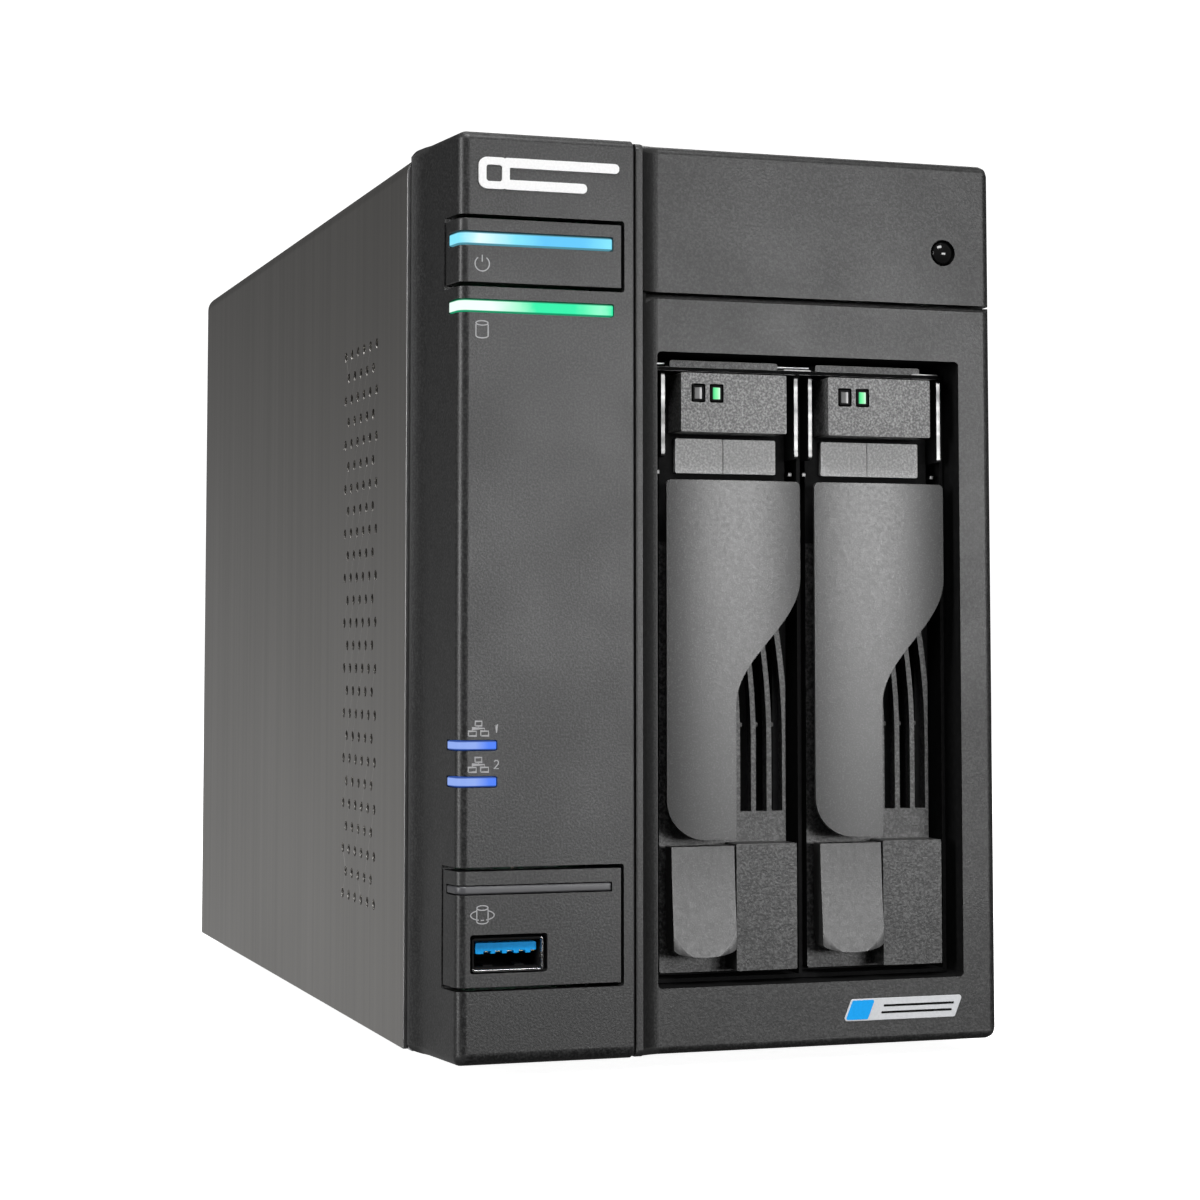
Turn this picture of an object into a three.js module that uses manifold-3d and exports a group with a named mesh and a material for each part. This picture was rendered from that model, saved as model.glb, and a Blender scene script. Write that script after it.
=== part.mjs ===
// Two-bay desktop network attached storage, in millimetres.
// X runs from left to right seen from the front, Y from front to back, Z up from the table.
import * as THREE from 'three';
import { mergeVertices } from 'three/addons/utils/BufferGeometryUtils.js';
import Module from 'manifold-3d';

const wasm = await Module();
wasm.setup();

// ---- Driving dimensions ------------------------------------------------------------------
const caseWidth = 108;
const caseDepth = 230;
const emblemRise = 0.4;
const faceY = -caseDepth / 2 + emblemRise;
const sheet = 1;
const fit = 0.15;
const arcStep = Math.PI / 6;

const foot = { height: 2.2, radius: 7, x: 38, frontY: -70, rearY: 92 };
const column = { left: -49.65, right: -17.65, slope: 0.1275, bottom: 2, top: 163.5, radius: 1.8 };
const flare = { front: 15, spread: 1.45 };
const bezel = { depth: 20, wall: 2.2, face: 1.7, right: 53.3, bottom: 2.25, top: 163.1, split: 136.3 };
const bay = { left: -12.8, right: 46.2, bottom: 13.7, top: 126.1, collar: 1.6 };
const cover = { front: -94.1, rear: 113.4, bottom: 2.6, top: 162.3, radius: 3.5 };
const panel = { front: bezel.depth, rearY: 110.4, halfWidth: 52.6, bottom: 2.2, top: 160.9, radius: 3 };
const cage = { left: -12.3, right: 45.8, bottom: 13.9, top: 124.1, front: 8, rear: 172.2, wall: 0.7 };
const cageTab = { halfWidth: 10.5, rise: 1.3, front: 16.6, rear: 19.7 };
const ribbon = { left: -40, right: -37, bottom: 80, top: 110 };
const trayCentres = { left: 2.5, right: 31 };
const tray = { halfWidth: 13.2, bottom: 14.8, top: 122.9, plate: 9.8, flange: 11.8 };
const drive = { width: 26.1, height: 101.6, length: 147, front: 20.3 };
const hingeCover = { left: -9.4, right: 10.1, bottom: 104.9, top: 111.2 };
const lever = { left: -12.75, right: 12.94, narrow: 0.04, top: 103.4, bottom: 39.3, face: 3, thick: 1.6 };
const pivot = { y: 7, z: 101.2, pinRadius: 0.9, boreRadius: 1.3, eyeRadius: 1.95, eyeWidth: 1.6 };
const eyeLefts = { lever: [-10.6, 9.2], tray: [-7.4, 6.6] };
const latchTongue = { left: -8, right: -3, back: 7.6, bottom: 41.2, top: 43 };
const board = { left: -20.6, right: -19, front: -88, rear: 106, bottom: 8, top: 150 };
const fan = { x: 17.4, z: 70, size: 70, depth: 25, bore: 33, tip: 31.5, hub: 15 };

// ---- Finishes ----------------------------------------------------------------------------
const finishes = {
  textured_plastic: { color: 0x545454, roughness: 0.62, metalness: 0 },
  column_plastic: { color: 0x4a4a4b, roughness: 0.6, metalness: 0 },
  glossy_black: { color: 0x060606, roughness: 0.12, metalness: 0 },
  satin_grey: { color: 0x868686, roughness: 0.38, metalness: 0 },
  light_grey: { color: 0xb9b9b9, roughness: 0.55, metalness: 0 },
  brushed_metal: { color: 0x5e5a56, roughness: 0.36, metalness: 0.85 },
  zinc_steel: { color: 0xb4b6b8, roughness: 0.32, metalness: 1 },
  black_plastic: { color: 0x161616, roughness: 0.5, metalness: 0 },
  cast_aluminium: { color: 0xa8aaac, roughness: 0.45, metalness: 0.9 },
  circuit_board: { color: 0x1d4a2c, roughness: 0.5, metalness: 0 },
  blue_light: { color: 0x4f8dff, roughness: 0.3, metalness: 0 },
  green_light: { color: 0x3fe487, roughness: 0.3, metalness: 0 },
  unlit_light: { color: 0x98989c, roughness: 0.35, metalness: 0 },
  port_blue: { color: 0x1482d2, roughness: 0.4, metalness: 0 },
  white_mark: { color: 0xededed, roughness: 0.35, metalness: 0 },
  badge_silver: { color: 0xd9dcdf, roughness: 0.3, metalness: 0.6 },
  rubber: { color: 0x1b1b1b, roughness: 0.9, metalness: 0 },
};

// ---- Shape helpers -----------------------------------------------------------------------
// Each corner is [a, b, radius]; a corner with a radius becomes an arc.
function outline(corners) {
  const points = [];
  corners.forEach(([a, b, radius = 0], i) => {
    const here = new THREE.Vector2(a, b);
    if (radius <= 0) {
      points.push(here);
      return;
    }
    const before = corners.at(i - 1);
    const after = corners[(i + 1) % corners.length];
    const toBefore = new THREE.Vector2(before[0], before[1]).sub(here).normalize();
    const toAfter = new THREE.Vector2(after[0], after[1]).sub(here).normalize();
    const half = Math.acos(toBefore.dot(toAfter)) / 2;
    const middle = toBefore.clone().add(toAfter).normalize();
    const centre = here.clone().addScaledVector(middle, radius / Math.sin(half));
    const start = here.clone().addScaledVector(toBefore, radius / Math.tan(half)).sub(centre);
    const end = here.clone().addScaledVector(toAfter, radius / Math.tan(half)).sub(centre);
    const turn = Math.atan2(start.cross(end), start.dot(end));
    const steps = Math.max(1, Math.ceil(Math.abs(turn) / arcStep - 0.01));
    for (let k = 0; k <= steps; k += 1) {
      points.push(start.clone().rotateAround(new THREE.Vector2(), turn * k / steps).add(centre));
    }
  });
  return new THREE.Shape(points);
}

function toSolid(geometry) {
  geometry.deleteAttribute('normal');
  geometry.deleteAttribute('uv');
  const merged = mergeVertices(geometry, 1e-4);
  const vertProperties = Float32Array.from(merged.attributes.position.array);
  const triVerts = Uint32Array.from(merged.index.array);
  return new wasm.Manifold(new wasm.Mesh({ numProp: 3, vertProperties, triVerts }));
}

function toGeometry(solid) {
  const { vertProperties, triVerts } = solid.getMesh();
  const geometry = new THREE.BufferGeometry();
  geometry.setAttribute('position', new THREE.BufferAttribute(Float32Array.from(vertProperties), 3));
  geometry.setIndex(new THREE.BufferAttribute(Uint32Array.from(triVerts), 1));
  geometry.computeVertexNormals();
  return geometry;
}

const axisX = new THREE.Vector3(1, 0, 0);
const axisY = new THREE.Vector3(0, 1, 0);
const axisZ = new THREE.Vector3(0, 0, 1);
const standAlongX = new THREE.Matrix4().makeBasis(axisY, axisZ, axisX);
const standAlongY = new THREE.Matrix4().makeBasis(axisX, axisZ, axisY.clone().negate());

function extrude(corners, depth) {
  return new THREE.ExtrudeGeometry(outline(corners), { depth, bevelEnabled: false });
}

// An outline in (Y, Z), carried along X.
function prismX(corners, x0, x1) {
  return toSolid(extrude(corners, x1 - x0).applyMatrix4(standAlongX).translate(x0, 0, 0));
}

// An outline in (X, Z), carried along Y.
function prismY(corners, y0, y1) {
  return toSolid(extrude(corners, y1 - y0).applyMatrix4(standAlongY).translate(0, y1, 0));
}

// An outline in (X, Y), carried along Z.
function prismZ(corners, z0, z1) {
  return toSolid(extrude(corners, z1 - z0).translate(0, 0, z0));
}

function block(x0, x1, y0, y1, z0, z1) {
  const geometry = new THREE.BoxGeometry(x1 - x0, y1 - y0, z1 - z0);
  return toSolid(geometry.translate((x0 + x1) / 2, (y0 + y1) / 2, (z0 + z1) / 2));
}

function disc(a, b, radius, sides) {
  return Array.from({ length: sides }, (_, i) => {
    const angle = 2 * Math.PI * (i + 0.5) / sides;
    return [a + radius * Math.cos(angle), b + radius * Math.sin(angle)];
  });
}

function rectangle(a0, a1, b0, b1, radius = 0) {
  return [[a0, b0, radius], [a1, b0, radius], [a1, b1, radius], [a0, b1, radius]];
}

function join(solids) {
  return solids.reduce((whole, piece) => whole.add(piece));
}

function cut(solid, tools) {
  return tools.reduce((whole, tool) => whole.subtract(tool), solid);
}

function addPiece(group, name, solid, finish) {
  const mesh = new THREE.Mesh(toGeometry(solid), new THREE.MeshStandardMaterial(finishes[finish]));
  mesh.name = name;
  group.add(mesh);
}

// ---- Frame groups ------------------------------------------------------------------------
const model = new THREE.Group();
const front = new THREE.Group();
front.position.y = faceY;
model.add(front);

// ---- Case: cover, plates, feet -----------------------------------------------------------
function archCorners(inset) {
  const x = caseWidth / 2 - inset;
  const top = cover.top - inset;
  const radius = cover.radius - inset;
  return [[-x, cover.bottom], [-x, top, radius], [x, top, radius], [x, cover.bottom]];
}

const screwX = 47.5;
const screwZ = 150;
const screwRadius = 1.6;
const tabSize = 11;

function buildCover() {
  const shell = prismY([...archCorners(0), ...archCorners(sheet).reverse()], cover.front, cover.rear);
  const innerX = caseWidth / 2 - sheet;
  const tabY = panel.rearY + sheet;
  const tabs = [-1, 1].map((side) => {
    const xs = [side * innerX, side * (innerX - tabSize)].sort((a, b) => a - b);
    const tab = block(xs[0], xs[1], tabY, tabY + sheet, screwZ - tabSize / 2, screwZ + tabSize / 2);
    return cut(tab, [prismY(disc(side * screwX, screwZ, screwRadius + 0.4, 10), tabY - 1, tabY + 2)]);
  });
  addPiece(model, 'cover', join([shell, ...tabs]), 'brushed_metal');
}

function buildThumbScrews() {
  const headY = panel.rearY + 2 * sheet;
  for (const [side, x] of [['left', -screwX], ['right', screwX]]) {
    const head = prismY(disc(x, screwZ, 4, 20), headY, caseDepth / 2);
    const shank = prismY(disc(x, screwZ, screwRadius, 10), headY - 6, headY);
    addPiece(model, `thumb_screw_${side}`, head.add(shank), 'zinc_steel');
  }
}

function buildBasePlate() {
  const x = panel.halfWidth;
  const flangeTop = 12;
  const corners = [
    [-x, panel.bottom], [x, panel.bottom], [x, flangeTop], [x - sheet, flangeTop],
    [x - sheet, panel.bottom + sheet], [sheet - x, panel.bottom + sheet], [sheet - x, flangeTop],
    [-x, flangeTop],
  ];
  const plate = prismY(corners, faceY + panel.front + sheet, panel.rearY);
  addPiece(model, 'base_plate', plate, 'zinc_steel');
}

function buildFeet() {
  for (const [end, y] of [['front', foot.frontY], ['rear', foot.rearY]]) {
    for (const [side, x] of [['left', -foot.x], ['right', foot.x]]) {
      const profile = [[0, 0], [foot.radius - 1, 0], [foot.radius, foot.height], [0, foot.height]];
      const points = profile.map(([r, h]) => new THREE.Vector2(r, h));
      const turned = new THREE.LatheGeometry(points, 20).rotateX(Math.PI / 2);
      addPiece(model, `foot_${end}_${side}`, toSolid(turned.translate(x, y, 0)), 'rubber');
    }
  }
}

// A plate that fills the case's cross-section, with its top corners rounded to clear the cover.
function casePlate(y0, y1) {
  const x = panel.halfWidth;
  const { bottom, top, radius } = panel;
  return prismY([[-x, bottom], [x, bottom], [x, top, radius], [-x, top, radius]], y0, y1);
}

function buildFrontPlate() {
  const y0 = panel.front;
  const y1 = y0 + sheet;
  const plate = casePlate(y0, y1);
  const gap = 0.3;
  const cageHole = block(
    cage.left - gap, cage.right + gap, y0 - 1, y1 + 1, cage.bottom - gap, cage.top + cageTab.rise + gap,
  );
  const ribbonSlot = block(
    ribbon.left, ribbon.right, y0 - 1, y1 + 1, ribbon.bottom, ribbon.top,
  );
  addPiece(front, 'front_plate', cut(plate, [cageHole, ribbonSlot]), 'zinc_steel');
}

// ---- Front bezel -------------------------------------------------------------------------
// Outer side face of the column at a depth y behind its front, set in by an inset. It slopes
// outwards, and flares towards its back to meet the cover.
function columnSide(y, inset) {
  const flared = Math.max(0, (y - flare.front) / (bezel.depth - flare.front));
  return column.left - column.slope * y - flare.spread * flared ** 2 + inset * Math.hypot(1, column.slope);
}

// Points along the flare at an inset, from the rear to its front.
function flareSide(rear, inset) {
  const steps = 3;
  return Array.from({ length: steps + 1 }, (_, i) => {
    const y = rear + (flare.front - rear) * i / steps;
    return [columnSide(y, inset), y];
  });
}

// A band of the column's skin between two insets: along the front, round the corner, back to yEnd.
function cornerBand(z0, z1, xEnd, yEnd, outer, inner) {
  const cornerAt = (inset) => [columnSide(inset, inset), inset, Math.max(column.radius - inset, 0)];
  return prismZ([
    [xEnd, outer], cornerAt(outer), [columnSide(yEnd, outer), yEnd],
    [columnSide(yEnd, inner), yEnd], cornerAt(inner), [xEnd, inner],
  ], z0, z1);
}

const lights = {
  power: { bottom: 143.5, top: 145.65, right: -21.8 },
  disk: { bottom: 131.7, top: 133.8, right: -21.6 },
  lan_1: { bottom: 55.8, top: 57.4, right: -42.8 },
  lan_2: { bottom: 49.5, top: 51.2, right: -42.8 },
  copy: { bottom: 31.2, top: 32.6, right: -22 },
};
const guideSpans = { disk: [-45, -25], lan: [-46, -43.5] };
const lightWrap = 5;
const lightDepth = 2.1;
const buttonWrap = 6.5;
const buttonSkin = 3.6;
const buttonGap = 0.7;
const buttons = {
  power: { bottom: 136.8, top: 148.1, right: -20.05 },
  copy: { bottom: 15.4, top: 35.1, right: -20.2 },
};
const frontUsb = { left: -47, right: -34.3, bottom: 18, top: 23.7, face: 0.2 };
const ioBoard = { front: 18.4, left: -46, right: -20.8, bottom: 10, top: 152 };

function lightSlot({ bottom, top, right }) {
  return cornerBand(bottom - fit, top + fit, right + fit, lightWrap + fit, -1, lightDepth + fit);
}

function buttonWindow({ bottom, top, right }) {
  const z0 = bottom - buttonGap;
  const z1 = top + buttonGap;
  return block(-60, right + 0.55, -1, buttonWrap + buttonGap, z0, z1);
}

function buildColumnPanel() {
  const backLeft = columnSide(bezel.depth, 0);
  const plan = prismZ([
    [column.left, 0, column.radius], [column.right, 0, 0.3],
    [column.right, bezel.depth], ...flareSide(bezel.depth, 0),
  ], column.bottom, column.top);
  const side = prismX([
    [0, column.bottom, 1.6], [bezel.depth, column.bottom, 2.6],
    [bezel.depth, column.top, 3.4], [0, column.top, 1.6],
  ], -60, 0);
  const leftRadius = 1.4;
  const elevation = prismY([
    [backLeft - 0.1, column.bottom, leftRadius], [0, column.bottom],
    [0, column.top], [backLeft - 0.1, column.top, leftRadius],
  ], -1, bezel.depth + 1);
  const innerRight = column.right - 2;
  const cavity = prismZ([
    [columnSide(bezel.wall, bezel.wall), bezel.wall], [innerRight, bezel.wall],
    [innerRight, bezel.depth + 1], ...flareSide(bezel.depth + 1, bezel.wall),
  ], column.bottom + bezel.wall, column.top - bezel.wall);
  const openings = [buttonWindow(buttons.power), buttonWindow(buttons.copy)];
  const slots = [lights.disk, lights.lan_1, lights.lan_2].map((light) => {
    return cornerBand(light.bottom - fit, light.top + fit, light.right + fit, lightWrap + fit, -1, 3);
  });
  const shell = plan.intersect(side).intersect(elevation);
  addPiece(front, 'column_panel', cut(shell, [cavity, ...openings, ...slots]), 'column_plastic');
}

function buildBayFrame() {
  const stripRight = -12.9;
  const postSide = prismX([
    [0, bezel.bottom, 1.6], [bezel.depth, bezel.bottom, 2.6],
    [bezel.depth, bezel.top, 2.6], [0, bezel.top, 1.6],
  ], -60, 0);
  const post = prismZ([
    [column.right + 0.3, 0, 0.3], [-16.2, 0, 0.3], [-15.8, 0.9], [-14.6, 1.5],
    [stripRight, bezel.face], [stripRight, bezel.depth], [column.right + 0.3, bezel.depth],
  ], bezel.bottom, bezel.top).intersect(postSide);
  const plan = prismZ([
    [-14, bezel.face], [bezel.right, bezel.face, 1.6], [bezel.right + 0.4, bezel.depth], [-14, bezel.depth],
  ], bezel.bottom, bezel.split);
  const side = prismX([
    [bezel.face, bezel.bottom, 1.6], [bezel.depth, bezel.bottom, 2.6], [bezel.depth, bezel.split],
    [bezel.face + 0.8, bezel.split], [bezel.face, bezel.split - 0.8],
  ], -20, 60);
  const elevation = prismY([
    [-20, column.top], [bezel.right + 0.2, column.top],
    [bezel.right + 0.2, bezel.bottom, 2.2], [-20, bezel.bottom],
  ], -1, bezel.depth + 1);
  const frame = post.add(plan.intersect(side).intersect(elevation));
  const opening = block(bay.left, bay.right, -1, bezel.depth + 1, bay.bottom, bay.top);
  const z0 = bezel.bottom + bezel.wall;
  const z1 = bezel.split - bezel.wall;
  const y0 = bezel.face + bezel.wall;
  const hollow = block(bay.left - bay.collar, bezel.right - bezel.wall, y0, bezel.depth + 1, z0, z1);
  const collar = block(
    bay.left - bay.collar - 1, bay.right + bay.collar, y0 - 1, bezel.depth + 2,
    bay.bottom - bay.collar, bay.top + bay.collar,
  );
  addPiece(front, 'bay_frame', cut(frame, [opening, hollow.subtract(collar)]), 'textured_plastic');
}

const lens = { x: 43.3, z: 146.3, radius: 2.2 };

function buildTopPanel() {
  const left = -12.6;
  const bottom = bezel.split + 0.4;
  const plan = prismZ([
    [left, bezel.face], [bezel.right, bezel.face, 1.6],
    [bezel.right + 0.4, bezel.depth], [left, bezel.depth],
  ], bottom, bezel.top);
  const side = prismX([
    [bezel.face, bottom], [bezel.depth, bottom], [bezel.depth, bezel.top, 2.6], [bezel.face, bezel.top, 1.6],
  ], -20, 60);
  const elevation = prismY([
    [-20, 0], [bezel.right, 0], [bezel.right, bezel.top, 2], [-20, bezel.top],
  ], -1, bezel.depth + 1);
  const y0 = bezel.face + bezel.wall;
  const cavity = block(
    left + bezel.wall, bezel.right - bezel.wall, y0, bezel.depth + 1,
    bottom + bezel.wall, bezel.top - bezel.wall,
  );
  const lensHole = prismY(disc(lens.x, lens.z, lens.radius + 0.25, 16), 0, y0 + 1);
  const shell = plan.intersect(side).intersect(elevation);
  addPiece(front, 'top_panel', cut(shell, [cavity, lensHole]), 'textured_plastic');
}

function buildLens() {
  const tip = bezel.face - 0.6;
  const profile = [[0, 9], [lens.radius, 9], [lens.radius, 1.5], [1.9, 0.8], [1.2, 0.2], [0, 0]];
  const points = profile.map(([r, h]) => new THREE.Vector2(r, -h));
  const turned = new THREE.LatheGeometry(points, 16).rotateX(Math.PI).translate(lens.x, tip, lens.z);
  addPiece(front, 'ir_lens', toSolid(turned), 'glossy_black');
}

function buildLights() {
  const bar = ({ bottom, top, right }) => cornerBand(bottom, top, right, lightWrap, 0, lightDepth);
  const guide = (light, x0, x1) => {
    return bar(light).add(block(x0, x1, 1, ioBoard.front, light.bottom, light.top));
  };
  addPiece(front, 'power_light', bar(lights.power), 'blue_light');
  addPiece(front, 'disk_light', guide(lights.disk, ...guideSpans.disk), 'green_light');
  addPiece(front, 'lan_light_1', guide(lights.lan_1, ...guideSpans.lan), 'blue_light');
  addPiece(front, 'lan_light_2', guide(lights.lan_2, ...guideSpans.lan), 'blue_light');
  addPiece(front, 'copy_light', bar(lights.copy), 'unlit_light');
}

const plungerEnd = 17;
const plungers = { power: { x: -34.5, z: 140.5 }, copy: { x: -28.5, z: 28.5 } };
const plungerHalf = 1.5;

function buildButton(name, extraCuts) {
  const { bottom, top, right } = buttons[name];
  const { x, z } = plungers[name];
  const skin = cornerBand(bottom, top, right, buttonWrap, 0, buttonSkin);
  const plunger = block(
    x - plungerHalf, x + plungerHalf, buttonSkin - 1, plungerEnd, z - plungerHalf, z + plungerHalf,
  );
  const solid = cut(skin.add(plunger), [lightSlot(lights[name]), ...extraCuts]);
  addPiece(front, `${name}_button`, solid, 'column_plastic');
}

function buildButtons() {
  const usbHole = block(
    frontUsb.left - 0.4, frontUsb.right + 0.8, -1, 8, frontUsb.bottom - 0.3, frontUsb.top + 0.7,
  );
  buildButton('power', []);
  buildButton('copy', [usbHole]);
}

function buildFrontUsb() {
  const { left, right, bottom, top, face } = frontUsb;
  const wall = 0.35;
  const outer = block(left, right, face, ioBoard.front, bottom, top);
  const inner = block(left + wall, right - wall, face - 1, ioBoard.front - 1, bottom + wall, top - wall);
  addPiece(front, 'front_usb_shell', outer.subtract(inner), 'zinc_steel');
  const tongue = block(left + 0.9, right - 0.9, face + 1.3, ioBoard.front - 1, bottom + 2.9, top - 0.9);
  addPiece(front, 'front_usb_tongue', tongue, 'port_blue');
}

function buildFrontIoBoard() {
  const plate = block(
    ioBoard.left, ioBoard.right, ioBoard.front, panel.front, ioBoard.bottom, ioBoard.top,
  );
  const half = 3;
  const travel = 0.7;
  const switches = Object.values(plungers).map(({ x, z }) => {
    return block(x - half, x + half, plungerEnd + travel, ioBoard.front + 0.5, z - half, z + half);
  });
  addPiece(front, 'front_io_board', join([plate, ...switches]), 'circuit_board');
}

const emblem = {
  left: -46.4, right: -20.6, bottom: 153.3, line: 1, gap: 0.8, heights: [5.6, 3.8, 5.6, 3.8, 5.6],
};
const badge = { left: 22.3, right: 45.8, bottom: 6.6, top: 10.5, radius: 0.8, rise: 0.3 };

// A plain raised bar motif: a base line with upright bars on it.
function buildEmblem() {
  const { left, right, bottom, gap, heights } = emblem;
  const pitch = (right - left) / heights.length;
  const line = block(left, right, -emblemRise, 0, bottom, bottom + emblem.line);
  const bars = heights.map((height, i) => {
    const x = left + pitch * i + gap / 2;
    return block(x, x + pitch - gap, -emblemRise, 0, bottom, bottom + height);
  });
  addPiece(front, 'emblem', join([line, ...bars]), 'white_mark');
}

function buildBadge() {
  const { left, right, bottom, top, radius, rise } = badge;
  const plate = prismY(rectangle(left, right, bottom, top, radius), bezel.face - rise, bezel.face);
  addPiece(front, 'badge', plate, 'badge_silver');
}

// ---- Drive cage and backplane ------------------------------------------------------------
function buildDriveCage() {
  const { left, right, bottom, top, wall } = cage;
  const outer = block(left, right, cage.front, cage.rear, bottom, top);
  const divider = (trayCentres.left + trayCentres.right) / 2;
  const y0 = cage.front - 1;
  const y1 = cage.rear + 1;
  const leftBay = block(left + wall, divider - wall / 2, y0, y1, bottom + wall, top - wall);
  const rightBay = block(divider + wall / 2, right - wall, y0, y1, bottom + wall, top - wall);
  const tabs = Object.values(trayCentres).map((x) => {
    const { halfWidth, rise } = cageTab;
    return block(x - halfWidth, x + halfWidth, cageTab.front, cageTab.rear, top - 0.2, top + rise);
  });
  addPiece(front, 'drive_cage', join([cut(outer, [leftBay, rightBay]), ...tabs]), 'zinc_steel');
}

const backplane = { front: 172.4, thick: 1.6, left: -11, right: 44.5, bottom: 18, top: 120 };
const sata = { depth: 4.8, halfWidth: 2.8, bottom: 26, top: 72 };

function buildBackplane() {
  const { left, right, bottom, top } = backplane;
  const y0 = backplane.front;
  const y1 = y0 + backplane.thick;
  const plate = block(left, right, y0, y1, bottom, top);
  const vents = Object.values(trayCentres).map((x) => block(x - 9, x + 9, y0 - 1, y1 + 1, 80, 112));
  addPiece(front, 'backplane', cut(plate, vents), 'circuit_board');
  for (const [side, x] of Object.entries(trayCentres)) {
    const body = block(x - sata.halfWidth, x + sata.halfWidth, y0 - sata.depth, y0, sata.bottom, sata.top);
    const slot = block(x - 0.9, x + 0.9, y0 - sata.depth - 1, y0 - 1, sata.bottom + 1.5, sata.top - 1.5);
    addPiece(front, `sata_connector_${side}`, body.subtract(slot), 'black_plastic');
  }
}

// ---- Drive trays -------------------------------------------------------------------------
const ledBlock = { left: -10.3, right: 10, bottom: 112, top: 122.6, face: 3 };
const leds = { status: -8.05, activity: -4.55 };
const led = { width: 2.1, bottom: 117.6, top: 120.4 };
const lowerBlock = { left: 0.4, right: 12, bottom: 16, top: 38.4, face: 4 };
const release = { left: -11.8, right: 0.1, top: 38.1, sideEnd: 20.2, end: 18.7, back: 7.5 };
const grille = {
  bottom: 43.8, top: 92, bend: 57, slots: 4, first: 0.35, pitch: 3.04, width: 2.1, right: 12.6,
};

// The grille's slats stand straight, then sweep to the left as they rise.
function slatShift(z) {
  const rise = Math.max(z - grille.bend, 0);
  return -0.0042 * rise * rise;
}

// Points up one edge of a slat: straight from the bottom to the bend, then swept.
function sweptEdge(x, bottom) {
  const steps = 4;
  const rise = (grille.top - grille.bend) / steps;
  const swept = Array.from({ length: steps + 1 }, (_, i) => grille.bend + rise * i);
  const heights = bottom < grille.bend ? [bottom, ...swept] : swept;
  return heights.map((z) => [x + slatShift(z), z]);
}

function grilleSlot(index) {
  const x = grille.first + grille.pitch * index;
  const leftEdge = sweptEdge(x, grille.bottom);
  const rightEdge = sweptEdge(x + grille.width, grille.bottom).reverse();
  return prismY([...leftEdge, ...rightEdge], tray.plate - 1, tray.flange + 1);
}

// The plate ends just right of the last slat, so its right edge sweeps to the left as well.
function grilleSide() {
  const outer = [[tray.halfWidth + 1, grille.top], [tray.halfWidth + 1, grille.bend]];
  return prismY([...sweptEdge(grille.right, grille.bend), ...outer], tray.plate - 1, tray.flange + 1);
}

function buildTrayFrame(group, side) {
  const { bottom, top, flange, halfWidth } = tray;
  const rear = 171;
  const railTop = bottom + 1.4;
  const thick = 0.8;
  const body = prismX([
    [flange, bottom], [rear, bottom], [rear, railTop], [flange + thick, railTop],
    [flange + thick, top - 1.4], [rear, top - 1.4], [rear, top], [flange, top],
  ], -halfWidth, halfWidth);
  const window = block(-10.5, 10.5, flange - 1, flange + 2, 30, 100);
  const lips = [-halfWidth, halfWidth - 0.7].map((x) => block(x, x + 0.7, 5.5, flange + 0.5, 107.6, top));
  addPiece(group, `tray_frame_${side}`, join([body.subtract(window), ...lips]), 'zinc_steel');
}

function buildTrayFront(group, side) {
  const { plate, flange, halfWidth } = tray;
  const back = block(1 - halfWidth, halfWidth - 1, plate, flange, 15.4, ledBlock.top);
  const top = block(
    ledBlock.left, ledBlock.right, ledBlock.face, plate + 0.5, ledBlock.bottom, ledBlock.top,
  );
  const low = block(
    lowerBlock.left, lowerBlock.right, lowerBlock.face, plate + 0.5, lowerBlock.bottom, lowerBlock.top,
  );
  const eyes = eyeLefts.tray.map((x) => {
    const x1 = x + pivot.eyeWidth;
    const eye = prismX(disc(pivot.y, pivot.z, pivot.eyeRadius - 0.05, 12), x, x1);
    return eye.add(block(x, x1, pivot.y, plate + 0.5, pivot.z - 1.7, pivot.z + 1.7));
  });
  const bore = prismX(disc(pivot.y, pivot.z, pivot.boreRadius, 12), -halfWidth, halfWidth);
  const slots = [...Array.from({ length: grille.slots }, (_, i) => grilleSlot(i)), grilleSide()];
  const windows = Object.values(leds).map((x) => {
    return block(x - 0.1, x + led.width + 0.1, 0, ledBlock.face + 3, led.bottom - 0.1, led.top + 0.1);
  });
  const solid = cut(join([back, top, low, ...eyes]), [bore, ...slots, ...windows]);
  addPiece(group, `tray_front_${side}`, solid, 'textured_plastic');
}

function buildHingeCover(group, side) {
  const { left, right, bottom, top } = hingeCover;
  const plate = prismY(rectangle(left, right, bottom, top, 0.4), tray.plate - 1, tray.plate);
  addPiece(group, `hinge_cover_${side}`, plate, 'light_grey');
}

function buildLever(group, side) {
  const { left, right, narrow, top, bottom, face, thick } = lever;
  const sweep = new THREE.CubicBezierCurve(
    new THREE.Vector2(narrow, 63), new THREE.Vector2(narrow, 72),
    new THREE.Vector2(right, 77.5), new THREE.Vector2(right, 86),
  ).getPoints(10).map((point) => [point.x, point.y]);
  const blade = prismY([
    [left, bottom, 7], [narrow, bottom, 0.8], ...sweep, [right, top, 0.8], [left, top, 0.8],
  ], face, face + thick);
  const ears = eyeLefts.lever.map((x) => {
    const x1 = x + pivot.eyeWidth;
    const eye = prismX(disc(pivot.y, pivot.z, pivot.eyeRadius, 12), x, x1);
    return eye.add(block(x, x1, face + 0.5, pivot.y, pivot.z - 1.8, pivot.z + 1.8));
  });
  const bore = prismX(disc(pivot.y, pivot.z, pivot.boreRadius, 12), left, right);
  const { left: catchLeft, right: catchRight, back, bottom: catchBottom, top: catchTop } = latchTongue;
  const catchTongue = block(catchLeft, catchRight, face + 0.5, back, catchBottom, catchTop);
  addPiece(group, `lever_${side}`, cut(join([blade, ...ears, catchTongue]), [bore]), 'satin_grey');
}

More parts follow.
